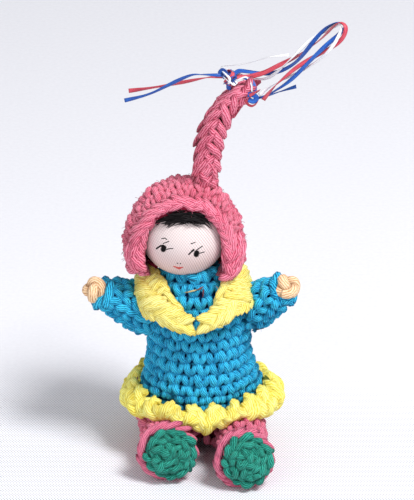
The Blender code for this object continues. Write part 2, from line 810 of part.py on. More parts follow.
def make_tools(parent):
    """Neighbours grown by the clearance, for shaping the pieces that lie on them."""
    grown = STITCH_RELIEF + GAP
    origin = Vector((0.0, 0.0, 0.0))
    bodies = {
        "head": ball_body(head_middle(), (HEAD_RADIUS + GAP) / math.cos(math.pi / 18.0), 18, 10),
        "hair": hair_body(GAP),
        "tunic": tunic_body(grown, relief=False),
        "tunic_top": tunic_body(grown, relief=False, top_extra=GAP),
        "collar": collar_body(2.0 * GAP),
        "sleeve_left": sleeve_body("left", grown + STITCH_RELIEF, relief=False),
        "sleeve_right": sleeve_body("right", grown + STITCH_RELIEF, relief=False),
    }
    tools = {}
    for name, body in bodies.items():
        tools[name] = finish_body(f"{name}_clearance", body, origin, None, parent)
        hide_tool(tools[name])
    return tools


def main():
    """Clear the scene and build the doll."""
    for item in list(bpy.data.objects):
        bpy.data.objects.remove(item, do_unlink=True)
    doll = bpy.data.objects.new("crochet_doll", None)
    bpy.context.scene.collection.objects.link(doll)
    materials = make_materials()
    tools = make_tools(doll)
    add_trousers(materials, doll)
    add_tunic(materials, doll, tools)
    add_arms(materials, doll, tools)
    finish_body("hem_trim", hem_body(), body_middle(TUNIC_FOOT), materials["yellow_yarn"], doll)
    add_collar(materials, doll, tools)
    add_head(materials, doll)
    add_hood(materials, doll, tools)
    add_ribbons(materials, doll)


main()
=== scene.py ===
"""Finish of a small seated crochet doll: yarn stitches, painted ball head, hair and flat ribbons."""

import math
import random

import bmesh
import bpy
import numpy as np
from mathutils import Matrix, Vector
from mathutils.bvhtree import BVHTree


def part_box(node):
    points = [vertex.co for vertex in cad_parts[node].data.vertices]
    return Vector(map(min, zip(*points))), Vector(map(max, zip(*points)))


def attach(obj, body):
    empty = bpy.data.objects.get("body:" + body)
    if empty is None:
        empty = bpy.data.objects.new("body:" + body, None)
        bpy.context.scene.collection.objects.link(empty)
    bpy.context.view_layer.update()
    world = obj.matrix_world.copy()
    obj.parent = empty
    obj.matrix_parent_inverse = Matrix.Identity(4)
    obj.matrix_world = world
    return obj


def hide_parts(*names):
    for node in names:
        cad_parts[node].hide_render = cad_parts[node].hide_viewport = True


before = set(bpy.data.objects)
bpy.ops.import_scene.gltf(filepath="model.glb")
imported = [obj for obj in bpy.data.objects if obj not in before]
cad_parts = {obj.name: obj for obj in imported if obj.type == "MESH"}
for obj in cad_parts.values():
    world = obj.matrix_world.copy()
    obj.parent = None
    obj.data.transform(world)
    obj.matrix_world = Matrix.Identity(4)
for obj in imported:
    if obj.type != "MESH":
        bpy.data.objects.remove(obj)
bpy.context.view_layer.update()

UP = Vector((0.0, 0.0, 1.0))
SIDES = {"left": -1.0, "right": 1.0}


def box_middle(node):
    """Middle of a node's box."""
    low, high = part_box(node)
    return (Vector(low) + Vector(high)) / 2.0


def new_object(name, data):
    """Object in the scene that holds the data."""
    made = bpy.data.objects.new(name, data)
    bpy.context.scene.collection.objects.link(made)
    return made


def square_to(axis, vector):
    """Direction of the part of a vector that is at right angles to an axis."""
    return (vector - axis * vector.dot(axis)).normalized()


def turned(first, second, angle):
    """First direction, turned by an angle towards the second, which is at right angles to it."""
    return first * math.cos(angle) + second * math.sin(angle)


def heading(turn, rise=0.0):
    """Level direction at a turn from the front, or one that also rises."""
    return Vector((math.sin(turn), -math.cos(turn), rise))


def mixed(start, end, share):
    """Go in a straight line from start to end."""
    return start + (end - start) * share


def eased(share):
    """Rise smoothly from 0 to 1 as share goes from 0 to 1."""
    share = min(max(share, 0.0), 1.0)
    return share * share * (3.0 - 2.0 * share)


def through(points, share):
    """Point at a share of a smooth curve through the points."""
    place = min(max(share, 0.0), 1.0) * (len(points) - 1)
    index = min(int(place), len(points) - 2)
    local = place - index
    before = points[max(index - 1, 0)]
    start, end = points[index], points[index + 1]
    after = points[min(index + 2, len(points) - 1)]
    slope_in = (end - before) * 0.5
    slope_out = (after - start) * 0.5
    square, cube = local * local, local ** 3
    return (start * (2.0 * cube - 3.0 * square + 1.0) + slope_in * (cube - 2.0 * square + local)
            + end * (3.0 * square - 2.0 * cube) + slope_out * (cube - square))


def evenly_along(route, count):
    """Points at equal steps along a smooth curve through a route."""
    fine = [through(route, step / 600.0) for step in range(601)]
    travelled = [0.0]
    for before, after in zip(fine, fine[1:]):
        travelled.append(travelled[-1] + (after - before).length)
    places = []
    step = 0
    for index in range(count):
        wanted = travelled[-1] * index / (count - 1)
        while step < len(fine) - 2 and travelled[step + 1] < wanted:
            step += 1
        share = (wanted - travelled[step]) / (travelled[step + 1] - travelled[step])
        places.append(mixed(fine[step], fine[step + 1], share))
    return places


# Camera

CAMERA_ELEVATION = math.radians(25.0)
CAMERA_DISTANCE = 1.2
CAMERA_LENS = 345.7
CAMERA_TARGET = Vector((0.00075, 0.0, 0.0533))


def make_camera():
    """Long lens in front of the doll, looking a little down on it."""
    data = bpy.data.cameras.new("camera")
    data.lens = CAMERA_LENS
    data.clip_start = 0.1
    camera = new_object("camera", data)
    back = Vector((0.0, -math.cos(CAMERA_ELEVATION), math.sin(CAMERA_ELEVATION)))
    camera.location = CAMERA_TARGET + back * CAMERA_DISTANCE
    camera.rotation_euler = (math.radians(90.0) - CAMERA_ELEVATION, 0.0, 0.0)
    bpy.context.scene.camera = camera


make_camera()
bpy.context.scene.view_settings.view_transform = "Standard"


# Shader building

def paint(colour, share=1.0):
    """Turn 0-255 screen values into the linear ones that a shader takes, at a share of their light."""
    return (*[(((v / 255.0 + 0.055) / 1.055) ** 2.4 if v > 10 else v / 255.0 / 12.92) * share
              for v in colour], 1.0)


class NodeWriter:
    """Short way to write a tree of nodes."""

    def node(self, kind, inputs=(), **settings):
        """Add a node, set its properties and plug or set its inputs."""
        made = self.tree.nodes.new(kind)
        for key, value in settings.items():
            setattr(made, key, value)
        for key, value in dict(inputs).items():
            self.plug(made.inputs[key], value)
        return made

    def plug(self, socket, value):
        """Link an output into a socket, or set the socket's own value."""
        if isinstance(value, bpy.types.NodeSocket):
            self.tree.links.new(value, socket)
        else:
            socket.default_value = value

    def math(self, operation, a, b=0.0, c=0.0, clamp=False):
        """One step of arithmetic."""
        made = self.node("ShaderNodeMath", {0: a, 1: b, 2: c}, operation=operation, use_clamp=clamp)
        return made.outputs[0]

    def times(self, a, b):
        """Product."""
        return self.math("MULTIPLY", a, b)

    def plus(self, a, b, **settings):
        """Sum."""
        return self.math("ADD", a, b, **settings)

    def vector(self, x, y, z):
        """Vector from three values."""
        return self.node("ShaderNodeCombineXYZ", {0: x, 1: y, 2: z}).outputs[0]

    def split(self, vector):
        """The three values of a vector."""
        return self.node("ShaderNodeSeparateXYZ", {0: vector}).outputs

    def scaled(self, vector, share):
        """Vector times a value."""
        return self.node("ShaderNodeVectorMath", {0: vector, "Scale": share}, operation="SCALE").outputs[0]


class Shader(NodeWriter):
    """Short way to write a material's nodes."""

    def __init__(self, name):
        self.material = bpy.data.materials.new(name)
        self.material.use_nodes = True
        self.tree = self.material.node_tree
        self.surface = self.tree.nodes["Principled BSDF"]

    def ramp(self, value, low, high, start=0.0, end=1.0):
        """Smooth change from start to end as value goes from low to high."""
        sockets = {"Value": value, "From Min": low, "From Max": high, "To Min": start, "To Max": end}
        made = self.node("ShaderNodeMapRange", sockets, interpolation_type="SMOOTHSTEP")
        return made.outputs["Result"]

    def blend(self, share, first, second):
        """Mix of two colours."""
        return self.node("ShaderNodeMix", {0: share, 6: first, 7: second}, data_type="RGBA").outputs[2]

    def vector_math(self, operation, a, b, output=0):
        """One step of arithmetic with vectors."""
        return self.node("ShaderNodeVectorMath", {0: a, 1: b}, operation=operation).outputs[output]

    def noise(self, scale, detail=2.0, roughness=0.5, vector=None):
        """Noise by object coordinates, or by another vector."""
        if vector is None:
            vector = self.node("ShaderNodeTexCoord").outputs["Object"]
        sockets = {"Vector": vector, "Scale": scale, "Detail": detail, "Roughness": roughness}
        return self.node("ShaderNodeTexNoise", sockets).outputs[0]

    def attribute(self, name, output="Fac"):
        """Value kept on the mesh."""
        return self.node("ShaderNodeAttribute", attribute_name=name).outputs[output]

    def bump(self, height, distance, strength=1.0):
        """Relief that is finer than the mesh."""
        made = self.node("ShaderNodeBump", {"Height": height, "Distance": distance, "Strength": strength})
        self.plug(self.surface.inputs["Normal"], made.outputs[0])

    def finish(self, colour, roughness, **values):
        """Set the shader's colour, roughness and other constant values."""
        self.plug(self.surface.inputs["Base Color"], colour)
        self.plug(self.surface.inputs["Roughness"], roughness)
        for key, value in values.items():
            self.surface.inputs[key.replace("_", " ").title().replace("Ior", "IOR")].default_value = value
        return self.material


PLY_LINES = 12.0
PLY_TWIST = 1500.0


def yarn_material(name, dark, middle, light, fuzz=0.06, contrast=1.0, depth_shade=0.85, gloom=0.55):
    """Soft cotton yarn: fine plies that wind slowly along each strand, fibres and small colour changes, with
    the dark and light colours laid on as painted shade in the ply grooves and painted highlight on the
    crests, and painted shade in the hollows of each stitch.
    """
    shader = Shader(name)
    around = shader.split(shader.attribute("around", "Vector"))
    angle = shader.math("ARCTAN2", around[1], around[0])
    wind = shader.times(shader.attribute("along"), PLY_TWIST)
    wander = shader.times(shader.noise(700.0, 2.0), 5.0)
    wound = shader.plus(shader.math("MULTIPLY_ADD", angle, PLY_LINES / 2.0, wind), wander)
    ply = shader.math("POWER", shader.math("ABSOLUTE", shader.math("SINE", wound)), 0.55)
    fibre = shader.noise(5200.0, 2.0, 0.65)
    tuft = shader.noise(1300.0, 3.0, 0.6)
    fluff = shader.math("MULTIPLY_ADD", fibre, 0.30, shader.times(tuft, 0.35))
    depth = shader.plus(shader.times(ply, 0.55), fluff)
    patch = shader.noise(160.0, 2.0)
    tone = shader.attribute("tone")
    # Crests of the plies lighter and grooves darker: painted highlight and painted shade; tone and patch add
    # random colour changes on top.
    shade = shader.math("MULTIPLY_ADD", shader.ramp(depth, 0.40, 0.95), contrast, 0.5 - 0.5 * contrast)
    shade = shader.plus(shade, shader.math("MULTIPLY_ADD", tone, 0.26, -0.13))
    shade = shader.plus(shade, shader.math("MULTIPLY_ADD", patch, 0.36, -0.18), clamp=True)
    low = shader.blend(shader.ramp(shade, 0.0, 0.5), paint(dark), paint(middle))
    colour = shader.blend(shader.ramp(shade, 0.5, 1.0), low, paint(light))
    # Painted shade in the hollows: the lower a point lies in its stitch or strand, the closer its colour goes
    # to the darkened dark colour.
    painted_hollow_shade = shader.ramp(shader.attribute("deep"), -0.34, 0.16, depth_shade, 0.0)
    colour = shader.blend(painted_hollow_shade, colour, paint(dark, gloom))
    shader.bump(depth, 0.00022, 1.0)
    return shader.finish(colour, 0.75, sheen_weight=fuzz, sheen_roughness=0.5, specular_ior_level=0.14)


def shade_lining_material(name, colour):
    """Stuffing that shows only between the stitches, darkened as painted shade in the gaps."""
    shader = Shader(name)
    grain = shader.noise(1500.0, 3.0)
    shade = shader.blend(grain, paint(colour, 0.55), paint(colour, 1.3))
    shader.bump(grain, 0.0002)
    return shader.finish(shade, 0.9, specular_ior_level=0.1)


# Dark, middle and light colour of each yarn, then fuzz, contrast, depth shade and gloom where they differ;
# the dark colour is painted shade and the light one painted highlight of a single yarn colour.
YARNS = {
    "blue": ((0, 76, 124), (2, 130, 184), (64, 206, 246)),
    "yellow": ((206, 168, 44), (246, 226, 98), (255, 250, 166), 0.1, 0.9, 0.55, 0.9),
    "hem": ((218, 186, 50), (252, 238, 98), (255, 254, 160), 0.04, 0.9, 0.42, 0.95),
    "rose": ((164, 40, 70), (214, 84, 114), (244, 144, 168), 0.16),
    "pink": ((146, 44, 78), (206, 88, 120), (236, 134, 160), 0.12),
    "green": ((0, 58, 48), (4, 108, 92), (54, 166, 146), 0.08),
    "peach": ((190, 126, 76), (236, 186, 136), (255, 224, 184), 0.1),
}
BLUE, YELLOW, HEM_YELLOW, ROSE, PINK, GREEN, PEACH = (
    yarn_material(name + "_yarn", *look) for name, look in YARNS.items())
# Colours of the stuffing under the stitches, darker than each yarn: painted shade in the gaps between
# stitches.
SHADE_LININGS = {"blue": (0, 44, 84), "yellow": (158, 122, 26), "rose": (128, 26, 50), "pink": (104, 26, 50),
           "green": (0, 46, 36), "peach": (150, 92, 50)}
SHADE_LINING_BLUE, SHADE_LINING_YELLOW, SHADE_LINING_ROSE, SHADE_LINING_PINK, SHADE_LINING_GREEN, SHADE_LINING_PEACH = (
    shade_lining_material(name + "_lining", colour) for name, colour in SHADE_LININGS.items())


# Node trees that make yarn

class Weaver(NodeWriter):
    """Short way to write a Geometry Nodes tree."""

    def __init__(self, name, sizes):
        self.tree = bpy.data.node_groups.new(name, "GeometryNodeTree")
        self.tree.interface.new_socket("Geometry", in_out="OUTPUT", socket_type="NodeSocketGeometry")
        self.tree.interface.new_socket("Geometry", in_out="INPUT", socket_type="NodeSocketGeometry")
        self.keys = {}
        for size, value in sizes.items():
            kind = {float: "NodeSocketFloat", int: "NodeSocketInt"}.get(type(value), "NodeSocketMaterial")
            socket = self.tree.interface.new_socket(size, in_out="INPUT", socket_type=kind)
            if kind != "NodeSocketMaterial":
                socket.default_value = value
            self.keys[size] = socket.identifier
        self.start = self.tree.nodes.new("NodeGroupInput")
        self.end = self.tree.nodes.new("NodeGroupOutput")

    def size(self, name):
        """The tree's own input of that name."""
        return self.start.outputs[name]

    def store(self, geometry, name, value, domain="POINT", kind="FLOAT"):
        """Keep a value on the geometry under a name."""
        made = self.node("GeometryNodeStoreNamedAttribute", {"Geometry": geometry, "Name": name},
                         data_type=kind, domain=domain)
        self.plug(made.inputs["Value"], value)
        return made.outputs[0]

    def read(self, name, kind="FLOAT"):
        """Value kept on the geometry under a name."""
        made = self.node("GeometryNodeInputNamedAttribute", {"Name": name}, data_type=kind)
        return made.outputs["Attribute"]

    def random(self, low, high, seed, kind="FLOAT"):
        """Random value for each point, with a fixed seed."""
        made = self.node("FunctionNodeRandomValue", data_type=kind)
        spots = (2, 3) if kind == "FLOAT" else (0, 1)
        self.plug(made.inputs[spots[0]], low)
        self.plug(made.inputs[spots[1]], high)
        self.plug(made.inputs["Seed"], seed)
        return made.outputs[1] if kind == "FLOAT" else made.outputs[0]

    def profile(self, sides, radius):
        """Round section of a strand, which keeps where each point lies round it."""
        circle = self.node("GeometryNodeCurvePrimitiveCircle", {"Resolution": sides, "Radius": radius})
        turn = self.node("GeometryNodeSplineParameter").outputs["Factor"]
        turn = self.times(turn, 2.0 * math.pi)
        place = self.vector(self.math("COSINE", turn), self.math("SINE", turn), 0.0)
        return self.store(circle.outputs[0], "around", place, kind="FLOAT_VECTOR")

    def strand(self, points, steps, profile, thin=0.5, unit=1.0, skew=1.0, blunt=0.6):
        """Plump strand of yarn along a Bezier of four points, thinner at its ends."""
        bezier = self.node("GeometryNodeCurvePrimitiveBezierSegment", {"Resolution": steps}, mode="POSITION")
        for key, point in zip(("Start", "Start Handle", "End Handle", "End"), points):
            self.plug(bezier.inputs[key], point)
        share = self.node("GeometryNodeSplineParameter")
        swell = self.times(self.math("POWER", share.outputs["Factor"], skew), math.pi)
        swell = self.math("POWER", self.math("MAXIMUM", self.math("SINE", swell), 0.0), blunt)
        swell = self.plus(thin, self.times(swell, self.math("SUBTRACT", 1.0, thin)))
        curve = self.store(bezier.outputs[0], "along", self.times(share.outputs["Length"], unit))
        sized = self.node("GeometryNodeSetCurveRadius", {"Curve": curve, "Radius": swell})
        mesh = self.node("GeometryNodeCurveToMesh", {"Curve": sized.outputs[0], "Profile Curve": profile,
                                                     "Fill Caps": True}).outputs[0]
        # Height across the strand, which the yarn materials turn into painted shade in the hollows.
        return self.store(mesh, "deep", self.split(self.node("GeometryNodeInputPosition").outputs[0])[2])

    def turn_copies(self, copies, rotation, swing):
        """Turn copies by a rotation, and then each by a swing of its own."""
        swing = self.node("FunctionNodeEulerToRotation", {0: swing})
        both = self.node("FunctionNodeRotateRotation", {0: rotation, 1: swing.outputs[0]},
                         rotation_space="LOCAL")
        self.plug(copies.inputs["Rotation"], both.outputs[0])

    def scatter(self, points, shape, jitter, seed):
        """Copies of a shape at the points, by the turn and size kept on them, with slight differences."""
        copies = self.node("GeometryNodeInstanceOnPoints", {"Points": points, "Instance": shape})
        turn = self.node("FunctionNodeEulerToRotation", {0: self.read("turn", "FLOAT_VECTOR")})
        back = self.times(jitter, -1.0)
        wobble = self.random(self.vector(back, back, back), self.vector(jitter, jitter, jitter), seed,
                             "FLOAT_VECTOR")
        self.turn_copies(copies, turn.outputs[0], wobble)
        swell = self.random(self.times(jitter, -0.7), self.times(jitter, 0.7), self.plus(seed, 7))
        sized = self.scaled(self.read("size", "FLOAT_VECTOR"), self.plus(1.0, swell))
        self.plug(copies.inputs["Scale"], sized)
        tone = self.random(0.0, 1.0, self.plus(seed, 13))
        return self.store(copies.outputs[0], "tone", tone, domain="INSTANCE")

    def close(self, geometry):
        """End the tree with real geometry and its material."""
        real = self.node("GeometryNodeRealizeInstances", {0: geometry}).outputs[0]
        real = self.node("GeometryNodeSetShadeSmooth", {0: real}).outputs[0]
        dressed = self.node("GeometryNodeSetMaterial", {"Geometry": real, "Material": self.size("Yarn")})
        self.plug(self.end.inputs[0], dressed.outputs[0])
        return self


STITCH_UNIT = 0.0037
# Side, reach and girth of a stitch's two legs
STITCH_LEGS = ((-1.0, 1.0, 1.0), (1.0, 0.86, 0.84))
STITCH_BAR = ((-0.42, -0.42, -0.22), (-0.15, -0.50, -0.02), (0.15, -0.50, -0.02), (0.42, -0.42, -0.22))


def stitch_tree():
    """Single crochet: a broad left leg and a smaller right one over a small bar, one stitch wide."""
    tree = Weaver("single_crochet", {"Plumpness": 0.265, "Spread": 0.27, "Bulge": 0.22, "Tilt": 0.12,
                                     "Jitter": 0.13, "Seed": 3, "Yarn": None})
    spread, bulge, tilt = tree.size("Spread"), tree.size("Bulge"), tree.size("Tilt")
    joined = tree.node("GeometryNodeJoinGeometry")
    for side, reach, girth in STITCH_LEGS:
        profile = tree.profile(8, tree.times(tree.size("Plumpness"), girth))
        wide = tree.times(spread, side)
        rows = ((1.02, 0.40 * reach, tree.times(tilt, -0.4)),
                (1.50, 0.40 * reach, tree.plus(bulge, tilt)),
                (0.66, -0.02, bulge), (0.10, -0.42, tree.times(tilt, -2.8)))
        points = [tree.vector(tree.times(wide, share), up, out) for share, up, out in rows]
        tree.plug(joined.inputs[0], tree.strand(points, 8, profile, 0.30, STITCH_UNIT, 0.72))
    bar_profile = tree.profile(6, tree.times(tree.size("Plumpness"), 0.55))
    tree.plug(joined.inputs[0], tree.strand(STITCH_BAR, 4, bar_profile, 0.8, STITCH_UNIT))
    copies = tree.scatter(tree.start.outputs["Geometry"], joined.outputs[0], tree.size("Jitter"),
                          tree.size("Seed"))
    return tree.close(copies)


def strand_tree():
    """One plump strand of yarn, pointed at both ends, of length and thickness 1."""
    tree = Weaver("plump_strand", {"Bulge": 0.16, "Sway": 0.10, "Ends": 0.30, "Sides": 8, "Jitter": 0.13,
                                   "Seed": 5, "Yarn": None})
    profile = tree.profile(tree.size("Sides"), 0.5)
    bulge, sway = tree.size("Bulge"), tree.size("Sway")
    points = (tree.vector(0.0, -0.46, tree.times(bulge, -2.4)),
              tree.vector(sway, -0.24, bulge), tree.vector(tree.times(sway, -1.0), 0.24, bulge),
              tree.vector(0.0, 0.46, tree.times(bulge, -2.4)))
    strand = tree.strand(points, 10, profile, tree.size("Ends"), 0.0040, 1.0, 0.38)
    copies = tree.scatter(tree.start.outputs["Geometry"], strand, tree.size("Jitter"), tree.size("Seed"))
    return tree.close(copies)


FIBRE_BEND = ((0.0, 0.0, -0.25), (0.0, 0.0, 0.35), (0.25, 0.05, 0.75), (0.75, 0.2, 0.8))


def fuzz_tree():
    """Loose fibres that stand off a surface, fine and bent."""
    tree = Weaver("loose_fibres", {"Density": 400000.0, "Length": 0.0016, "Thickness": 0.026, "Seed": 9,
                                   "Yarn": None})
    spots = tree.node("GeometryNodeDistributePointsOnFaces",
                      {"Mesh": tree.start.outputs["Geometry"], "Density": tree.size("Density"),
                       "Seed": tree.size("Seed")}, distribute_method="RANDOM")
    fibre = tree.strand(FIBRE_BEND, 5, tree.profile(3, tree.size("Thickness")), 0.5, 0.0016)
    copies = tree.node("GeometryNodeInstanceOnPoints", {"Points": spots.outputs["Points"], "Instance": fibre})
    swing = tree.random((-0.9, -0.9, -3.1), (0.9, 0.9, 3.1), tree.size("Seed"), "FLOAT_VECTOR")
    tree.turn_copies(copies, spots.outputs["Rotation"], swing)
    tree.plug(copies.inputs["Scale"], tree.random(tree.times(tree.size("Length"), 0.5),
                                                  tree.times(tree.size("Length"), 1.6), 4))
    return tree.close(tree.store(copies.outputs[0], "tone", tree.random(0.0, 1.0, 6), domain="INSTANCE"))


STITCH = stitch_tree()
STRAND = strand_tree()
FUZZ = fuzz_tree()


def run_tree(name, mesh, tree, yarn, sizes):
    """Run a tree on a mesh with its sizes, and keep the result as a plain mesh object."""
    source = new_object(name + "_places", mesh)
    modifier = source.modifiers.new("yarn", "NODES")
    modifier.node_group = tree.tree
    modifier[tree.keys["Yarn"]] = yarn
    for key, value in sizes.items():
        modifier[tree.keys[key.replace("_", " ").title()]] = value
    made = bpy.data.meshes.new_from_object(source.evaluated_get(bpy.context.evaluated_depsgraph_get()))
    bpy.data.objects.remove(source)
    return new_piece(name, made)


def fuzz_on(form, yarn, **sizes):
    """Loose fibres over a form."""
    return run_tree(form.node + "_fuzz", form.lining_mesh.copy(), FUZZ, yarn, sizes)


def keep_on_points(mesh, values):
    """Keep numbers or vectors on a mesh's points, each list under its name."""
    for key, rows in values.items():
        vector = hasattr(rows[0], "__len__")
        rows = np.array([tuple(row) for row in rows] if vector else rows, dtype=np.float32)
        kept = mesh.attributes.new(key, "FLOAT_VECTOR" if vector else "FLOAT", "POINT")
        kept.data.foreach_set("vector" if vector else "value", rows.ravel())


class Stitches:
    """Places for stitches on a piece: a point, its three directions and its size."""

    def __init__(self):
        self.places, self.turns, self.sizes = [], [], []

    def add(self, place, sideways, upward, outward, size):
        """One stitch, sideways along its row and upward across it."""
        outward = outward.normalized()
        upward = square_to(outward, upward)
        across = upward.cross(outward).normalized()
        if across.dot(sideways) < 0.0:
            across = -across
        self.places.append(place)
        self.turns.append(Matrix((across, outward.cross(across), outward)).transposed().to_euler())
        self.sizes.append(size)

    def weave(self, name, tree, yarn, **sizes):
        """Run a tree over the places and keep the result as a plain mesh object."""
        mesh = bpy.data.meshes.new(name + "_places")
        mesh.from_pydata([tuple(p) for p in self.places], [], [])
        keep_on_points(mesh, {"turn": self.turns, "size": self.sizes})
        return run_tree(name, mesh, tree, yarn, sizes)


def new_piece(name, mesh):
    """Object at the origin that holds a finished mesh."""
    mesh.name = name
    return new_object(name, mesh)


def swept_piece(name, corners, faces, values, material):
    """Object made of swept sections, with values on its points and its faces turned outwards."""
    mesh = bpy.data.meshes.new(name)
    mesh.from_pydata([tuple(corner) for corner in corners], [], faces)
    keep_on_points(mesh, values)
    whole = bmesh.new()
    whole.from_mesh(mesh)
    bmesh.ops.recalc_face_normals(whole, faces=whole.faces)
    whole.to_mesh(mesh)
    whole.free()
    mesh.materials.append(material)
    mesh.shade_smooth()
    return new_piece(name, mesh)


def section_faces(last, here, sides):
    """Faces between one section's points and the next one's."""
    return [(last + k, last + (k + 1) % sides, here + (k + 1) % sides, here + k) for k in range(sides)]


# Forms read from the frame

class Form:
    """Smooth form of one CAD node: for rays from outside, and as the lining under the stitches."""

    def __init__(self, node, rounds=6, shrink=0.0019, narrow=0.0, firm=1.0, slim=1.0):
        shape = bmesh.new()
        shape.from_mesh(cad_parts[node].data)
        middle = box_middle(node).x
        for vertex in shape.verts:
            vertex.co.x = middle + (vertex.co.x - middle) * slim
            low_down = 1.0 - eased((vertex.co.z - 0.027) / 0.006)
            vertex.co.x -= narrow * low_down * eased(vertex.co.x / 0.012)
        bmesh.ops.remove_doubles(shape, verts=shape.verts, dist=1e-6)
        for _ in range(rounds):
            bmesh.ops.smooth_vert(shape, verts=shape.verts, factor=0.5, use_axis_x=True, use_axis_y=True,
                                  use_axis_z=True)
        shape.normal_update()
        self.node = node
        self.tree = BVHTree.FromBMesh(shape)
        for vertex, normal in [(v, v.normal.copy()) for v in shape.verts]:
            vertex.co -= normal * shrink * (0.35 if vertex.co.z > firm else 1.0)
        self.lining_mesh = bpy.data.meshes.new(node + "_lining")
        shape.to_mesh(self.lining_mesh)
        shape.free()

    def hit(self, origin, direction, reach=0.1):
        """First surface point met from outside, coming back towards the origin, and its normal."""
        start = origin + direction * reach
        place, normal, _, _ = self.tree.ray_cast(start, -direction, reach)
        return (None, None) if place is None else (place, normal)

    def lining(self, material):
        """The form itself as a finished inner piece."""
        self.lining_mesh.materials.append(material)
        self.lining_mesh.shade_smooth()
        return new_piece(self.node + "_lining", self.lining_mesh)


def directions_round(start, side, count):
    """Directions at equal turns, from start towards side and on, each with its turn."""
    turns = [2.0 * math.pi * index / count for index in range(count)]
    return [(turn, turned(start, side, turn)) for turn in turns]


RING_SAMPLES = 72


def row_of_stitches(stitches, form, origin, axis, start, upward, pitch, height, raised=-0.0005, phase=0.0,
                    reach=0.03, keep=None, depth=None):
    """One round of stitches at even steps round an axis, where the form's surface is."""
    side = axis.cross(start).normalized()
    closed = [form.hit(origin, facing, reach)[0] for _, facing in directions_round(start, side, RING_SAMPLES)]
    places = [place for place in closed if place is not None]
    if len(places) < 3:
        return
    length = sum((a - b).length for a, b in zip(places, places[1:] + places[:1]) if (a - b).length < 0.01)
    count = max(3, round(length / pitch))
    travelled, angles = [0.0], [0.0]
    for index in range(1, RING_SAMPLES + 1):
        before, after = closed[index - 1], closed[index % RING_SAMPLES]
        step = (after - before).length if before is not None and after is not None else 0.0
        travelled.append(travelled[-1] + min(step, 0.01))
        angles.append(2.0 * math.pi * index / RING_SAMPLES)
    width = length / count
    for index in range(count):
        wanted = travelled[-1] * (((index + phase) / count) % 1.0)
        angle = float(np.interp(wanted, travelled, angles))
        facing = turned(start, side, angle)
        place, normal = form.hit(origin, facing, reach)
        if place is None or (keep and not keep(place, normal)):
            continue
        stitches.add(place + normal * raised, axis.cross(facing), upward, normal,
                     (width, height / 0.86, depth or width))


# Stitch sizes and how deep the rounds sink into the forms
PITCH = 0.0037
ROW = 0.0030
SINK = -0.0014
REST = 0.0009


def settle(mesh):
    """Flatten softly what would sink below the floor."""
    spots = np.empty(len(mesh.vertices) * 3, dtype=np.float32)
    mesh.vertices.foreach_get("co", spots)
    heights = spots[2::3]
    if heights.min() < REST:
        spots[2::3] = np.where(heights < REST, REST * np.exp((heights - REST) / REST), heights)
        mesh.vertices.foreach_set("co", spots)


def one_piece(name, parts, nodes=()):
    """Join parts into one piece that rides with the doll, and stands for CAD nodes."""
    first = parts[0]
    if len(parts) > 1:
        with bpy.context.temp_override(active_object=first, object=first, selected_objects=parts,
                                       selected_editable_objects=parts):
            bpy.ops.object.join()
    first.name = name
    first.data.name = name
    settle(first.data)
    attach(first, "root")
    if nodes:
        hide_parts(*nodes)
    return first


def stuffed(form, lining):
    """The lining with its stuffing, as a padded piece."""
    piece = one_piece(form.node + "_stuffing", [form.lining(lining)])


def inside(form, point, margin=0.0):
    """Whether a point lies inside a form."""
    place, normal, _, _ = form.tree.find_nearest(point)
    return (point - place).dot(normal) < -margin


# Directions in the picture
ACROSS = Vector((1.0, 0.0, 0.0))
UPWARD = Vector((0.0, math.sin(CAMERA_ELEVATION), math.cos(CAMERA_ELEVATION)))
TOWARDS = Vector((0.0, -math.cos(CAMERA_ELEVATION), math.sin(CAMERA_ELEVATION)))


def seen(origin, across, up, near):
    """Point given as the camera sees it: across, up and nearer, in millimetres from an origin."""
    return origin + (ACROSS * across + UPWARD * up + TOWARDS * near) / 1000.0


# Ribbons

TAIL_TIP = Vector((0.0097, -0.0018, 0.0984))
RIBBON_SPACING = 0.0015
RIBBON_TWIST_LENGTH = 0.0240
LOOP_ROUTE = ((-3.6, 1.0, 3.0), (-1.6, 3.2, 2.2), (1.8, 4.2, 1.2), (5.6, 3.2, 1.8), (9.3, 1.8, 4.3),
              (12.9, 1.4, 7.2), (16.4, 1.4, 10.7), (19.8, 1.3, 14.0), (22.2, 1.0, 15.9), (23.8, 0.4, 16.8),
              (24.6, -0.4, 16.4), (24.0, -1.2, 14.8), (22.2, -1.8, 12.5), (18.9, -2.0, 9.5),
              (15.0, -2.0, 6.4), (11.2, -2.0, 3.4), (7.2, -2.2, 0.5), (4.4, -2.6, -1.8))
BLUE_START = ((-29.2, -1.6, -3.0), (-23.0, -2.2, -1.0), (-16.8, -2.2, 2.2), (-12.6, -1.6, 3.8),
              (-8.8, -1.0, 3.6), (-6.2, -0.8, 3.4))
RED_START = ((-28.2, 0.2, -1.2), (-22.6, 0.2, -0.4), (-16.8, 0.4, 0.6), (-11.8, 1.0, 1.4), (-8.6, 1.2, 2.0),
             (-6.2, 1.0, 2.2))
WHITE_START = ((11.2, 6.8, 5.6), (6.4, 7.4, 4.8), (2.2, 7.2, 3.6), (-1.6, 6.2, 3.2), (-4.4, 4.8, 3.6),
               (-5.4, 3.0, 4.0))
BLUE_END = ((3.0, -0.8, -2.7), (4.1, 1.2, -3.4), (7.0, 2.2, -3.0), (10.0, 2.0, -1.8), (13.0, 1.6, -0.6))


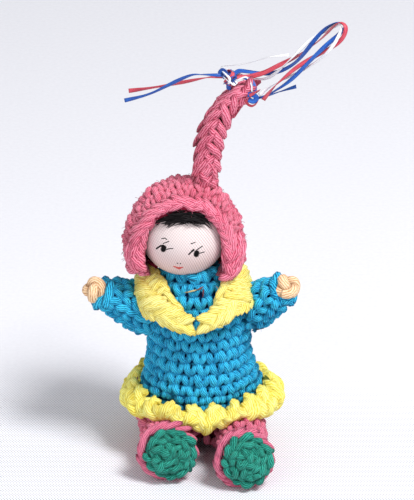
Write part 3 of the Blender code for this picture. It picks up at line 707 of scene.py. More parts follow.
def ribbon_material(name, colour, light):
    """Narrow woven ribbon: satin streaks along it in a lighter colour, which is painted highlight, and
    slightly darker edges.
    """
    shader = Shader(name)
    along = shader.times(shader.attribute("along"), 300.0)
    across = shader.times(shader.attribute("across"), 5.0)
    streak = shader.noise(1.0, 3.0, 0.6, shader.vector(along, across, 0.0))
    edge = shader.ramp(shader.math("ABSOLUTE", shader.attribute("across")), 0.6, 1.0)
    # The light colour along the streaks is painted highlight of the satin.
    base = shader.blend(shader.ramp(streak, 0.3, 0.75), paint(colour), paint(light))
    base = shader.blend(shader.times(edge, 0.35), base, paint(colour, 0.45))
    shader.bump(streak, 0.00006, 0.7)
    return shader.finish(base, 0.42, sheen_weight=0.1, specular_ior_level=0.45)


# Colour and painted highlight colour of each ribbon.
RIBBON_COLOURS = {
    "blue": ribbon_material("blue_ribbon", (6, 48, 142), (28, 112, 204)),
    "red": ribbon_material("red_ribbon", (178, 34, 58), (226, 96, 112)),
    "white": ribbon_material("white_ribbon", (226, 228, 236), (255, 255, 255)),
}
# Across and deep, in halves of the width and in thicknesses, of each corner of a ribbon's section
STRIP_SECTION = ((-1.0, 0.35), (-0.5, 1.0), (0.5, 1.0), (1.0, 0.35), (1.0, -0.65), (0.5, 0.0), (-0.5, 0.0),
                 (-1.0, -0.65))


def strip(name, points, width, thickness, colour, turns, start_turn=0.0, steps=110):
    """Flat ribbon along a route, which slowly turns over; closed at both ends."""
    points = evenly_along(points, steps)
    length = sum((b - a).length for a, b in zip(points, points[1:]))
    upward = UPWARD.copy()
    corners, faces, across_values, along_values = [], [], [], []
    sides = len(STRIP_SECTION)
    for index, point in enumerate(points):
        before = points[max(index - 1, 0)]
        after = points[min(index + 1, len(points) - 1)]
        tangent = (after - before).normalized()
        upward = square_to(tangent, upward)
        facing = tangent.cross(upward)
        share = index / (len(points) - 1)
        turn = start_turn + turns * 2.0 * math.pi * share + 0.5 * math.sin(share * length * 300.0)
        flat = turned(upward, facing, turn)
        out = facing * math.cos(turn) - upward * math.sin(turn)
        narrow = 1.0 - 0.18 * abs(math.sin(share * length * 160.0 + 1.0))
        for across, deep in STRIP_SECTION:
            corners.append(point + flat * (across * width * narrow / 2.0) + out * (deep * thickness))
            across_values.append(across)
            along_values.append(share * length)
        if index:
            faces += section_faces((index - 1) * sides, index * sides, sides)
    end = (len(points) - 1) * sides
    faces += [tuple(range(sides))[::-1], tuple(range(end, end + sides))]
    return swept_piece(name, corners, faces, {"across": across_values, "along": along_values},
                       RIBBON_COLOURS[colour])


def route_of(points):
    """Route in millimetres from the tail's tip, as points of the scene."""
    return [TAIL_TIP + Vector(point) / 1000.0 for point in points]


def loop_strand(phase):
    """One strand of the loop, winding round the others along the loop's shared middle line."""
    middle = route_of(LOOP_ROUTE)
    length = sum((after - before).length for before, after in zip(middle, middle[1:]))
    lay = RIBBON_SPACING / math.sqrt(3.0)
    count = 2 * len(middle)
    across = UP
    strand = []
    for index in range(count + 1):
        share = index / count
        direction = (through(middle, share + 0.02) - through(middle, share - 0.02)).normalized()
        across = square_to(direction, across)
        turn = 2.0 * math.pi * (share * length / RIBBON_TWIST_LENGTH + phase)
        near_tip = 1.0 - 0.7 * math.exp(-((share - 0.52) / 0.10) ** 2)
        aside = turned(across, across.cross(direction), turn)
        strand.append(through(middle, share) + aside * lay * near_tip)
    return strand


KNOT_LOOPS = (
    ("blue", 1.5, ((-6.0, 4.1, 1.2), (-5.2, 4.9, 2.0), (-4.2, 4.4, 2.8), (-3.7, 3.4, 3.0), (-2.7, 2.6, 3.0),
                   (-1.9, 1.6, 2.6))),
    ("red", 1.2, ((-4.2, 3.6, 1.4), (-3.5, 4.8, 2.0), (-2.6, 4.4, 3.2), (-3.0, 3.3, 3.6), (-4.0, 2.6, 3.0),
                  (-4.5, 1.8, 2.0))),
    ("white", 0.9, ((-4.9, 3.4, 2.6), (-4.1, 2.6, 3.6), (-3.2, 1.9, 3.8), (-2.4, 1.4, 3.6),
                    (-1.6, 2.1, 2.6))),
    ("blue", 1.4, ((-3.6, 0.3, 0.6), (-3.6, 1.4, 1.8), (-2.7, 2.4, 2.4), (-1.7, 3.1, 2.0))),
    ("red", 1.1, ((-4.4, 2.0, 0.8), (-3.6, 1.5, 1.6), (-2.6, 1.8, 1.8))),
    ("blue", 1.5, ((0.2, 2.4, 2.0), (1.4, 2.0, 2.4), (2.3, 0.9, 2.6), (2.6, -0.6, 2.8), (2.0, -1.9, 3.0))),
    ("white", 0.5, ((-2.0, 2.2, 2.2), (-0.6, 2.9, 2.6), (0.8, 2.5, 3.0), (1.9, 0.8, 3.2), (2.1, -1.2, 3.2))),
    ("blue", 1.5, ((1.0, -1.8, 3.2), (2.2, -1.8, 3.8), (3.2, -2.5, 3.6), (2.5, -3.4, 3.4), (1.2, -3.0, 3.2))),
    ("red", 1.1, ((0.5, -2.9, 2.2), (1.0, -4.0, 2.6), (2.0, -4.5, 3.0), (3.1, -4.0, 2.8), (3.5, -3.0, 2.4))),
    ("red", 1.0, ((1.4, -2.0, 4.0), (2.6, -1.4, 4.2), (4.0, -0.7, 3.4))),
    ("blue", 1.3, ((-5.2, 3.2, 2.4), (-4.2, 3.4, 3.2), (-3.2, 4.2, 2.6), (-3.4, 4.9, 1.6))),
    ("white", 0.8, ((-5.0, 4.6, 2.2), (-4.2, 3.8, 3.4), (-3.4, 2.8, 4.0), (-3.6, 1.6, 3.0))),
    ("blue", 1.2, ((-4.6, 1.6, 1.4), (-3.8, 2.2, 2.6), (-3.0, 3.2, 3.4), (-2.0, 3.6, 2.4))),
    ("red", 0.9, ((2.2, 1.8, 1.6), (2.9, 0.4, 2.0), (2.8, -1.0, 2.4), (2.0, -2.4, 3.0))),
)


RIBBONS = (("blue", BLUE_START, 0.75, BLUE_END, 0.1113, 1.4, 0.0012),
           ("red", RED_START, 0.42, (), 0.0942, 1.2, 0.0013),
           ("white", WHITE_START, 0.08, (), 0.0905, 1.6, 0.0010))
RIBBON_THICKNESS = 0.00014
KNOT_THICKNESS = 0.00016
KNOT_DROP = {True: 1.0, False: 0.3}


def make_ribbons():
    """The three ribbons along their CAD routes, with the loops of their two knots."""
    for index, (colour, width, points) in enumerate(KNOT_LOOPS):
        route = [seen(TAIL_TIP, across, up - KNOT_DROP[across < -0.5], near) for across, up, near in points]
        loop = strip("loop", route, width / 1000.0, KNOT_THICKNESS, colour, 0.1, 0.4 * index, 24)
        one_piece(f"knot_loop_{index + 1}", [loop])
    for colour, start, phase, end, length, turns, width in RIBBONS:
        route = evenly_along(route_of(start) + loop_strand(phase) + route_of(end), 42)
        name = "ribbon_" + colour
        flat = strip(name, route, width, RIBBON_THICKNESS, colour, turns, 0.2, 160)
        ribbon = one_piece(name + "_flat", [flat], [name])


# Tunic and sleeves

FORWARD = Vector((0.0, -1.0, 0.0))
UPPER_ROWS_FROM = 0.74
UPPER_SINK = -0.0004
FOOT_DROP = 0.0022
NECK_STRANDS = 15
NECK_STRAND = (0.0017, 0.0043, 0.0017)


def dress_tunic():
    """Rounds of single crochet from the hem up to the neck, on stuffing darkened as painted shade between the
    stitches.
    """
    form = Form("tunic", narrow=0.0015, firm=0.041)
    low, high = (Vector(corner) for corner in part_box("tunic"))
    rows = round((high.z - low.z) / ROW)
    stitches, ring = Stitches(), Stitches()
    neck = box_middle("head")
    for row in range(rows):
        share = (row + 0.5) / rows
        height = mixed(low.z, high.z, share)
        lean = ((height - low.z) / (neck.z - low.z)) ** 1.6
        origin = Vector((neck.x * lean, neck.y * lean, height))
        row_of_stitches(stitches, form, origin, UP, -FORWARD, UP, mixed(PITCH * 1.02, PITCH * 0.92, share),
                        (high.z - low.z) / rows, SINK if share < UPPER_ROWS_FROM else UPPER_SINK, 0.16 * row,
                        depth=PITCH)
        if row == 0:
            stitches.places += [place - UP * FOOT_DROP for place in stitches.places]
            stitches.turns *= 2
            stitches.sizes *= 2
    top = Vector((neck.x * 0.72, neck.y * 0.72, high.z - 0.0012))
    for _, facing in directions_round(FORWARD, ACROSS, NECK_STRANDS):
        place, normal = form.hit(top, facing, 0.02)
        if place is not None:
            ring.add(place - normal * 0.0004, facing, UP.cross(facing) - UP * 0.45, normal + UP * 0.3,
                     NECK_STRAND)
    parts = [stitches.weave("tunic_stitches", STITCH, BLUE, seed=3),
             ring.weave("neck_ring", STRAND, BLUE, seed=8),
             fuzz_on(form, BLUE, density=90000.0, length=0.0011, seed=2)]
    one_piece("tunic_crochet", parts, ["tunic"])
    stuffed(form, SHADE_LINING_BLUE)


def arm_axis(side):
    """A sleeve's hand and the direction of the arm."""
    hand = box_middle("hand_" + side)
    return hand, (hand - box_middle("sleeve_" + side)).normalized()


# Random seed of each sleeve, and how far ahead of the cuff's rim its strands lie
SLEEVES = {"left": (11, 0.0009), "right": (12, 0.0019)}
SLEEVE_REACH = 0.0105
CUFF_STRANDS = 11
CUFF_STRAND = (0.0027, 0.0046, 0.0024)
INNER_STRANDS = 7
INNER_STRAND = (0.0024, 0.0040, 0.0022)


def dress_sleeve(side):
    """Rounds of single crochet round the arm, and a thick band at the cuff."""
    seed, ahead = SLEEVES[side]
    form = Form("sleeve_" + side, 4)
    tunic = Form("tunic", 6)
    hand, along = arm_axis(side)
    reaches = [(v.co - hand).dot(along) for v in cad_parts["sleeve_" + side].data.vertices]
    near, far = min(reaches), max(reaches)
    start = along.cross(UP).normalized()
    stitches, band = Stitches(), Stitches()
    rows = max(3, round((far - near - 0.001) / (ROW * 0.98)))
    for row in range(rows):
        origin = hand + along * mixed(far - 0.0014, near + 0.001, (row + 0.35) / rows)
        outside = lambda point, normal: ((point - origin).length < SLEEVE_REACH
                                         and not inside(tunic, point, 0.0003)
                                         and not (point.x > 0.0118 and point.z < 0.0335))
        row_of_stitches(stitches, form, origin, along, start, -along, PITCH * 1.06, ROW, -0.0006, 0.3 * row,
                        0.012, outside, PITCH * 0.95)
    cuff = hand + along * (far - 0.0003)
    side_way = along.cross(start).normalized()
    inner = directions_round(start, side_way, INNER_STRANDS)
    for index, (_, facing) in enumerate(directions_round(start, side_way, CUFF_STRANDS)):
        place, _ = form.hit(cuff - along * 0.0008, facing, 0.012)
        if place is not None and (place - cuff).length < 0.008:
            band.add(place + facing * 0.0001 + along * ahead, facing, along.cross(facing) + along * 0.12,
                     facing, CUFF_STRAND)
        if index < INNER_STRANDS:
            facing = inner[index][1]
            band.add(cuff + facing * 0.0025 + along * 0.0002, facing, along.cross(facing),
                     along + facing * 0.3, INNER_STRAND)
    parts = [stitches.weave("sleeve", STITCH, BLUE, seed=seed, jitter=0.16),
             band.weave("cuff", STRAND, BLUE, seed=seed + 2),
             fuzz_on(form, BLUE, density=90000.0, length=0.0011, seed=seed)]
    one_piece("sleeve_" + side + "_crochet", parts, ["sleeve_" + side])
    stuffed(form, SHADE_LINING_BLUE)


KNOT_STEPS = 84
KNOT_SIDES = 9
KNOT_SCALE = 0.00074
KNOT_DEPTH = 0.0012
KNOT_GIRTH = 0.00134


def yarn_knot(name, centre, along, start, girth, yarn):
    """Thick yarn tied in a tight knot: a tube along a trefoil, with the places that the yarn needs."""
    side_way = along.cross(start).normalized()
    route, corners, faces, kept = [], [], [], {"around": [], "along": [], "tone": [], "deep": []}
    for index in range(KNOT_STEPS):
        turn = 2.0 * math.pi * index / KNOT_STEPS
        wide = KNOT_SCALE * (2.0 + math.cos(3.0 * turn))
        route.append(centre + start * (wide * math.cos(2.0 * turn)) + side_way * (wide * math.sin(2.0 * turn))
                     + along * (KNOT_DEPTH * math.sin(3.0 * turn)))
    for index, point in enumerate(route):
        after = (index + 1) % KNOT_STEPS
        tangent = (route[after] - route[index - 1]).normalized()
        out = square_to(tangent, point - centre)
        beside = tangent.cross(out)
        for corner in range(KNOT_SIDES):
            angle = 2.0 * math.pi * corner / KNOT_SIDES
            corners.append(point + turned(out, beside, angle) * girth)
            kept["around"].append((math.cos(angle), math.sin(angle), 0.0))
            kept["along"].append(0.00034 * index)
            kept["tone"].append(0.5 + 0.3 * math.sin(3.0 * index / KNOT_STEPS * 6.3))
            # Depth from the knot's middle, which the yarn turns into painted shade where the yarn lies inside
            # the knot.
            kept["deep"].append((corners[-1] - centre).length / 0.0030 - 0.85)
        faces += section_faces(index * KNOT_SIDES, after * KNOT_SIDES, KNOT_SIDES)
    return swept_piece(name, corners, faces, kept, yarn)


def dress_hand(side):
    """Tight knot of thick yarn on a small ball."""
    form = Form("hand_" + side, 4, 0.0011)
    hand, along = arm_axis(side)
    start = along.cross(UP).normalized()
    if side == "right":
        start = (start + along.cross(start) * 0.6).normalized()
    knot = yarn_knot("knot", hand + along * 0.0003, along, start, KNOT_GIRTH, PEACH)
    one_piece("hand_" + side + "_knot", [form.lining(SHADE_LINING_PEACH), knot], ["hand_" + side])


# Collar and hem

# Heights in millimetres of the collar's inner and outer edge, by degrees from the front, left and right
COLLAR_EDGES = {
    -1: (((0, 37.2), (6, 37.4), (8, 38.0), (12, 39.6), (17, 41.8), (29, 44.8), (44, 48.0), (57, 49.2),
          (90, 49.9), (180, 50.3)),
         ((0, 38.9), (4, 38.8), (10, 38.5), (24, 38.3), (34, 38.8), (47, 39.8), (58, 40.3), (70, 41.9),
          (84, 44.0), (100, 45.0), (120, 45.5), (180, 45.5))),
    1: (((0, 37.6), (7, 38.4), (14, 40.0), (24, 41.7), (32, 43.8), (41, 46.2), (57, 47.9), (75, 47.8),
         (90, 48.2), (120, 49.5), (180, 50.3)),
        ((0, 39.0), (4, 39.0), (14, 38.9), (22, 39.4), (31, 40.2), (47, 41.5), (60, 41.4), (76, 42.0),
         (88, 44.0), (100, 45.0), (120, 45.5), (180, 45.5))),
}
# Share across the band, slant, thickness, pitch and first turn of each chain of strands
COLLAR_CHAINS = ((0.10, 0.06, 0.0018, 0.0028, 10.0), (0.62, 0.80, 0.0017, 0.0029, 14.5),
                 (0.88, -0.62, 0.0017, 0.0029, 12.5))
COLLAR_PITCH = 0.0018
COLLAR_STRAND = 0.00175
FRONT_GAP = 0.0042
NECK = Vector((-0.003, 0.0, 0.035))


def collar_point(turn, share):
    """Point on the collar, from its inner edge (0) to its outer edge (1), at a turn from the front."""
    angle = abs(math.degrees(turn))
    neck = box_middle("head")
    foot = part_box("tunic")[0][2]
    inner, outer = COLLAR_EDGES[-1 if turn < 0.0 else 1]
    places = []
    for table, radius in ((inner, mixed(12.0, 8.8, eased(angle / 60.0)) + 0.5),
                          (outer, 12.3 + 2.2 * math.exp(-((angle - 56.0) / 26.0) ** 2))):
        height = float(np.interp(angle, *zip(*table))) / 1000.0
        lean = ((height - foot) / (neck.z - foot)) ** 1.6
        places.append(Vector((neck.x * lean + math.sin(turn) * radius / 1000.0,
                              neck.y * lean - math.cos(turn) * radius / 1000.0, height)))
    return mixed(*places, share) + heading(turn, 0.4) * 0.0010 * math.sin(math.pi * share)


def lifted(form, place, normal, margin):
    """A place moved out to a little above a form's surface, where it lies deeper."""
    spot, _, _, _ = form.tree.ray_cast(place + normal * 0.004, -normal, 0.004 - margin)
    return place if spot is None else spot + normal * margin


def open_front(mesh, middle, half_width):
    """Take the front middle out of a band and close both ends."""
    band = bmesh.new()
    band.from_mesh(mesh)
    for offset, side in ((-half_width, 1.0), (half_width, -1.0)):
        whole = band.verts[:] + band.edges[:] + band.faces[:]
        bmesh.ops.bisect_plane(band, geom=whole, plane_co=(middle + offset, 0.0, 0.0),
                               plane_no=(side, 0.0, 0.0))
    gone = [face for face in band.faces if abs(face.calc_center_median().x - middle) < half_width
            and face.calc_center_median().y < 0.0]
    bmesh.ops.delete(band, geom=gone, context="FACES")
    bmesh.ops.holes_fill(band, edges=[edge for edge in band.edges if edge.is_boundary])
    bmesh.ops.recalc_face_normals(band, faces=band.faces)
    band.to_mesh(mesh)
    band.free()


def collar_way(turn, share):
    """Direction along the collar."""
    return (collar_point(turn + 0.02, share) - collar_point(turn - 0.02, share)).normalized()


def away_from_neck(normal, place):
    """The normal, turned so that it points away from the neck."""
    return normal if normal.dot(place - NECK) > 0.0 else -normal


def dress_collar():
    """Long strands across the band, and a chain of V stitches along its outer edge."""
    form = Form("collar", 3, 0.0012, slim=0.93)
    open_front(form.lining_mesh, box_middle("collar").x, FRONT_GAP)
    across_band, chain = Stitches(), Stitches()
    for sign in (-1.0, 1.0):
        turn = math.radians(9.0)
        while turn < math.pi:
            side = sign * turn
            step = (collar_point(side + sign * 0.02, 0.7) - collar_point(side, 0.7)) / 0.02
            start, end = collar_point(side - sign * 0.02, 0.20), collar_point(side + sign * 0.12, 0.64)
            middle = mixed(start, end, 0.5)
            tangent = collar_way(side, 0.4)
            normal = away_from_neck(tangent.cross(end - start).normalized(), middle)
            across_band.add(lifted(form, middle + normal * 0.0002, normal, -0.0010), tangent, end - start,
                            normal, (COLLAR_STRAND, max((end - start).length * 1.12, 0.0018), 0.0018))
            turn += COLLAR_PITCH / step.length
        for share, slant, thick, pitch, first in COLLAR_CHAINS:
            turn = math.radians(first)
            proud, margin = (0.0008, 0.0003) if share > 0.5 else (0.0001, -0.0005)
            while turn < math.pi:
                side = sign * turn
                place = collar_point(side, share)
                tangent = collar_way(side, share)
                down = (collar_point(side, 1.0) - collar_point(side, 0.0)).normalized()
                normal = away_from_neck(tangent.cross(down).normalized(), place)
                place = lifted(form, place + normal * proud, normal, margin)
                chain.add(place, down, tangent * sign + down * slant, normal, (thick, pitch * 1.4, thick))
                turn += pitch / max((collar_point(side + 0.02, share) - place).length / 0.02, 0.004)
    parts = [form.lining(SHADE_LINING_YELLOW), across_band.weave("across", STRAND, YELLOW, seed=51),
             chain.weave("chain", STRAND, YELLOW, seed=52, jitter=0.12)]
    one_piece("collar_crochet", parts, ["collar"])


HEM_STITCHES = 19
# Radius in millimetres by which a place along the hem becomes a turn
HEM_RADIUS = 17.8
HEM_HEIGHT = 0.0147
# Along and up in millimetres, slant, length, thickness and height of each strand of one hem stitch
HEM_STRANDS = ((-0.62, 1.1, 66, 3.5, 2.2, 0.0), (0.62, 1.1, 114, 3.4, 2.1, 0.0),
               (0.0, 2.3, 10, 2.4, 1.7, -0.5),
               (2.65, 0.5, 4, 3.6, 2.1, -1.3), (-1.25, -1.5, 60, 3.5, 2.5, 0.7),
               (1.30, -1.7, 122, 3.4, 2.5, 0.8),
               (0.1, -0.5, 24, 2.6, 1.9, 1.1), (2.65, -0.7, 96, 3.2, 2.3, 0.3),
               (2.65, -2.7, 164, 2.9, 2.1, 0.4),
               (0.1, -3.1, 12, 3.0, 2.1, 0.4), (-0.7, -2.7, 150, 2.6, 1.9, 1.0))


def dress_hem():
    """Edging of fat yarn: for each stitch a spike over the tunic's foot, crossing strands and a scallop."""
    form = Form("hem_trim", 2, 0.0009, 0.0011)
    middle = UP * HEM_HEIGHT
    strands = Stitches()
    dice = random.Random(4)
    for index in range(HEM_STITCHES):
        centre = 2.0 * math.pi * (index + 0.45) / HEM_STITCHES
        rise = dice.uniform(-0.5, 0.5)
        for along, height, angle, length, thick, raised in HEM_STRANDS:
            turn = centre + along / HEM_RADIUS
            facing = heading(turn)
            level = (height + rise * (1.0 if height > 0.0 else 0.5)) / 1000.0
            spot, out = form.hit(middle + UP * level, facing, 0.03)
            if spot is None:
                spot, out, _, _ = form.tree.find_nearest(middle + UP * level + facing * 0.018)
                spot = Vector((spot.x, spot.y, middle.z + level)) if height > 0.0 else spot
            around = UP.cross(facing)
            lean = math.radians(angle + dice.uniform(-8.0, 8.0))
            out = (out + facing * 1.5 + UP * (0.6 if height > 0.0 else 0.1)).normalized()
            strands.add(spot + facing * (raised / 1000.0), around * math.sin(lean) - UP * math.cos(lean),
                        around * math.cos(lean) + UP * math.sin(lean), out,
                        (thick / 1000.0, length / 1000.0, thick * 0.92 / 1000.0))
    woven = strands.weave("hem", STRAND, HEM_YELLOW, seed=61, jitter=0.22, sway=0.2, ends=0.5, bulge=0.28)
    one_piece("hem_crochet", [form.lining(SHADE_LINING_YELLOW), woven], ["hem_trim"])


# Trousers and soles

LEG_YAW = math.radians(4.0)
LEG_SINK = -0.0008
LEG_REACH = 0.0095
SEAT_ROWS = 4
RIM_STRANDS = 15
RIM_STRAND = (0.0017, 0.0036, 0.0017)


def dress_trousers():
    """Rounds of stitches along each leg and round the seat, and a rim round each sole."""
    form = Form("trousers", 5)
    stitches, rim = Stitches(), Stitches()
    for side in SIDES:
        sole = box_middle("sole_" + side)
        forward = heading(LEG_YAW)
        rows = round((abs(sole.y) + 0.002) / ROW)
        for row in range(rows):
            origin = sole - forward * (0.0020 + ROW * row)
            near = lambda point, normal, origin=origin: ((point - origin).length < LEG_REACH
                                                         and point.z > 0.0003)
            row_of_stitches(stitches, form, origin, forward, UP, -forward, PITCH * 0.95, ROW, LEG_SINK,
                            0.25 * row, 0.0098, near, PITCH * 0.95)
        across = forward.cross(UP)
        for angle, facing in directions_round(across, UP, RIM_STRANDS):
            top = eased(math.sin(angle) * 1.6 - 0.3)
            rim.add(sole + facing * (0.0066 + 0.0007 * top) - forward * (0.0006 + 0.0008 * top) + UP * 0.0005
                    + across * 0.0003, facing,
                    facing.cross(forward) + facing * 0.45, forward + facing * 0.8, RIM_STRAND)
    for row in range(SEAT_ROWS):
        origin = Vector((0.0, 0.0022, 0.0022 + ROW * row))
        behind = lambda point, normal: point.y > 0.0012
        row_of_stitches(stitches, form, origin, UP, -FORWARD, UP, PITCH, ROW, LEG_SINK, 0.3 * row, 0.03,
                        behind, PITCH)
    parts = [stitches.weave("trousers", STITCH, PINK, seed=21, jitter=0.16),
             rim.weave("leg_rims", STRAND, PINK, seed=23, jitter=0.2, bulge=0.26),
             fuzz_on(form, PINK, density=300000.0, length=0.0013, seed=22)]
    one_piece("trousers_crochet", parts, ["trousers"])
    stuffed(form, SHADE_LINING_PINK)


# Share of the sole's radius and number of stitches of each round
SOLE_ROUNDS = ((0.76, 12), (0.47, 8), (0.17, 3))
SOLE_STITCH = (0.0034, 0.0036, 0.0034)
SOLE_TILT = math.radians(9.0)


def dress_sole(side):
    """Concentric rounds of plump stitches that close the end of a leg."""
    form = Form("sole_" + side, 2, 0.0012)
    middle = box_middle("sole_" + side)
    flat = math.cos(SOLE_TILT)
    outward = Vector((math.sin(LEG_YAW) * flat, -math.cos(LEG_YAW) * flat, math.sin(SOLE_TILT)))
    across = UP.cross(outward).normalized()
    upward = outward.cross(across)
    low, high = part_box("sole_" + side)
    radius = (high[0] - low[0]) / 2.0
    stitches = Stitches()
    dice = random.Random(5 if side == "left" else 6)
    for ring, (share, count) in enumerate(SOLE_ROUNDS):
        for index in range(count):
            angle = 2.0 * math.pi * (index + 0.5 * ring) / count + 0.15
            facing = across * math.cos(angle) + upward * math.sin(angle) * 1.1
            spot = middle + facing * radius * share
            place, _, _, _ = form.tree.ray_cast(spot + outward * 0.01, -outward, 0.02)
            if place is None:
                continue
            spin = dice.uniform(0.0, 2.0 * math.pi) if ring else math.pi / 2.0 + dice.uniform(-0.6, 0.6)
            upright = turned(facing, facing.cross(outward), spin)
            proud = 0.0002 + (0.0005 * max(math.sin(angle), 0.0) if ring == 0 else 0.0)
            stitches.add(place + outward * proud + upward * 0.0009 + across * 0.0005, upright.cross(outward),
                         upright, outward + facing * (0.45 if ring == 0 else 0.1), SOLE_STITCH)
    seed = 31 if side == "left" else 32
    parts = [form.lining(SHADE_LINING_GREEN), stitches.weave("sole", STITCH, GREEN, seed=seed, jitter=0.26),
             fuzz_on(form, GREEN, density=250000.0, length=0.0010, seed=seed)]
    one_piece("sole_" + side + "_crochet", parts, ["sole_" + side])


# Hood and tail

TAIL_ROUTE = ((5.2, -0.6, 11.8), (5.6, -0.8, 15.5), (5.8, -0.8, 19.5), (6.3, -0.8, 24.0), (7.5, -0.8, 28.8),
              (9.7, -0.8, 33.2), (12.9, -0.8, 36.6), (14.9, -0.8, 38.5))
# Share of the edge's width, slant, thickness and setback of each round of the rim
HOOD_RIM = ((0.02, 0.05, 0.0019, 0.0012), (0.28, 0.45, 0.0017, 0.0), (0.76, -0.80, 0.0019, 0.0003),
            (1.2, -0.5, 0.0019, 0.0016))
RIM_REACH = math.radians(128.0)


def hood_rim(rim, form, centre, front):
    """Slanting fat strands along the face's edge, in rounds that make a rope, with one more at the lobes."""
    for share, slant, thick, back in HOOD_RIM:
        angle = -RIM_REACH
        while angle < RIM_REACH:
            lobe = eased((abs(math.degrees(angle)) - 78.0) / 34.0)
            if share > 1.0 and lobe < 0.4:
                angle += 0.05
                continue
            places = []
            for turn in (angle - 0.03, angle, angle + 0.03):
                ray = Vector((math.sin(turn), 0.0, math.cos(turn)))
                start = Vector((centre.x, front + 0.0014, centre.z))
                inner, _, _, _ = form.tree.ray_cast(start, ray, 0.03)
                outer, _ = form.hit(start, ray, 0.03)
                if inner is None or outer is None:
                    break
                places.append(mixed(inner, outer, share))
            if len(places) < 3:
                angle += 0.05
                continue
            tangent = (places[2] - places[0]).normalized()
            spoke = places[1] - Vector((centre.x, places[1].y, centre.z))
            ray = spoke.normalized()
            place = Vector((places[1].x, front + 0.0001 + back, places[1].z))
            outward = FORWARD + ray * (0.9 if share > 0.5 else 0.1)
            fat = thick * (1.0 + 0.35 * lobe)
            rim.add(place, ray, tangent + ray * slant, outward, (fat, 0.0040, fat))
            angle += 0.0026 / max(spoke.length, 0.008)


HOOD_ROWS = 15
HOOD_RADIUS = 0.0141
LOWER_EDGE_STRANDS = 40
BACK_EDGE_STRAND = (0.0026, 0.0034, 0.0024)
LAST_LATITUDE = math.radians(85.5)
EDGE_STRAND = (0.0018, 0.0038, 0.0017)
TAIL_STEP = 0.0030
TAIL_STRAND = (0.0023, 0.0052, 0.0022)
TIP_STRANDS = 5
TIP_STRAND = (0.0022, 0.0036, 0.0019)
# Turn in degrees from the viewer, and lean, of each column of the plait
TAIL_COLUMNS = ((-36.0, 1.0), (54.0, -1.0), (144.0, 1.0), (-126.0, -1.0))


def dress_hood():
    """Rounds parallel to the face's edge, a rope-like rim, a rolled lower edge and the plaited tail."""
    form = Form("hood", 3, 0.0011)
    centre = box_middle("head")
    low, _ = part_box("hood")
    front = low[1]
    stitches, rim, plait = Stitches(), Stitches(), Stitches()
    first = math.asin((front - centre.y + 0.0030) / HOOD_RADIUS)
    aim = -FORWARD
    for row in range(HOOD_ROWS):
        latitude = mixed(first, LAST_LATITUDE, row / (HOOD_ROWS - 1))
        origin = centre + aim * HOOD_RADIUS * math.sin(latitude)
        in_place = lambda point, normal: low[2] + 0.0008 < point.z < centre.z + 0.0148
        row_of_stitches(stitches, form, origin, aim, UP, aim, PITCH * 0.78, ROW * 0.84, -0.0009, 0.35 * row,
                        0.022, in_place, PITCH * 0.8)
    hood_rim(rim, form, centre, front)
    for angle, facing in directions_round(FORWARD, ACROSS, LOWER_EDGE_STRANDS):
        place, _ = form.hit(Vector((centre.x, centre.y, low[2] + 0.0007)), facing, 0.022)
        if place is not None and (place.xy - centre.xy).length > 0.0095:
            rim.add(place, facing, UP.cross(facing) + UP * 0.25, facing - UP * 0.7, EDGE_STRAND)
            if place.y > centre.y:
                rim.add(place - UP * 0.0012 - facing * 0.0006, facing, UP.cross(facing) - UP * 0.25,
                        facing - UP * 0.7, EDGE_STRAND)
        if math.cos(angle) < 0.40:
            rim.add(Vector((centre.x, centre.y, low[2] + 0.0003)) + facing * 0.0106, facing, UP.cross(facing),
                    facing - UP * 0.7, BACK_EDGE_STRAND)
    route = [centre + Vector(point) / 1000.0 for point in TAIL_ROUTE]
    length = sum((b - a).length for a, b in zip(route, route[1:]))
    steps = round(length / TAIL_STEP)
    for index in range(-1, steps):
        share = (index + 0.5) / steps
        place = through(route, share)
        along = (through(route, share + 0.03) - through(route, share - 0.03)).normalized()
        facing = square_to(along, TOWARDS)
        aside = along.cross(facing).normalized()
        girth = 0.00138 + 0.0009 * math.sin(math.pi * min(share * 1.05, 1.0))
        for turn, lean in TAIL_COLUMNS:
            angle = math.radians(turn)
            out = turned(facing, aside, angle)
            around = along.cross(out).normalized()
            lift = along * (0.0013 if lean < 0.0 else 0.0)
            plait.add(place + out * girth + lift, around, along + around * 0.72 * lean, out, TAIL_STRAND)
    tip = route[-1]
    facing = square_to(along, TOWARDS)
    for _, out in directions_round(facing, along.cross(facing), TIP_STRANDS):
        plait.add(tip - along * 0.0016 + out * 0.0013, along.cross(out), along - out * 0.5, out + along * 0.5,
                  TIP_STRAND)
    parts = [form.lining(SHADE_LINING_ROSE), stitches.weave("hood", STITCH, ROSE, seed=41, jitter=0.32),
             rim.weave("rim", STRAND, ROSE, seed=42), plait.weave("tail", STRAND, ROSE, seed=43, jitter=0.15),
             fuzz_on(form, ROSE, density=600000.0, length=0.0014, seed=44)]
    one_piece("hood_crochet", parts, ["hood"])


# Head and hair

FACE_STROKES = (
    ((-4.95, -4.20), (-5.05, -4.60), 0.68),
    ((-6.75, -4.40), (-5.80, -3.75), 0.20), ((-5.80, -3.75), (-5.05, -3.65), 0.24),
    ((-4.25, -4.60), (-3.60, -4.42), 0.13), ((-3.60, -4.42), (-2.70, -4.38), 0.11),
    ((-5.45, -1.95), (-4.65, -1.80), 0.12), ((-4.65, -1.80), (-4.20, -2.15), 0.12),
    ((-5.10, -3.15), (-3.70, -2.60), 0.12),
    ((3.20, -5.45), (3.10, -5.85), 0.68),
    ((1.25, -5.85), (2.00, -5.10), 0.18), ((2.00, -5.10), (2.45, -4.70), 0.24),
    ((3.20, -4.75), (4.60, -3.80), 0.12), ((3.75, -5.60), (5.10, -5.22), 0.12),
    ((1.80, -3.20), (2.80, -2.88), 0.12),
    ((-1.62, -8.02), (-1.55, -8.02), 0.14), ((-0.86, -8.10), (-0.80, -8.10), 0.14),
)
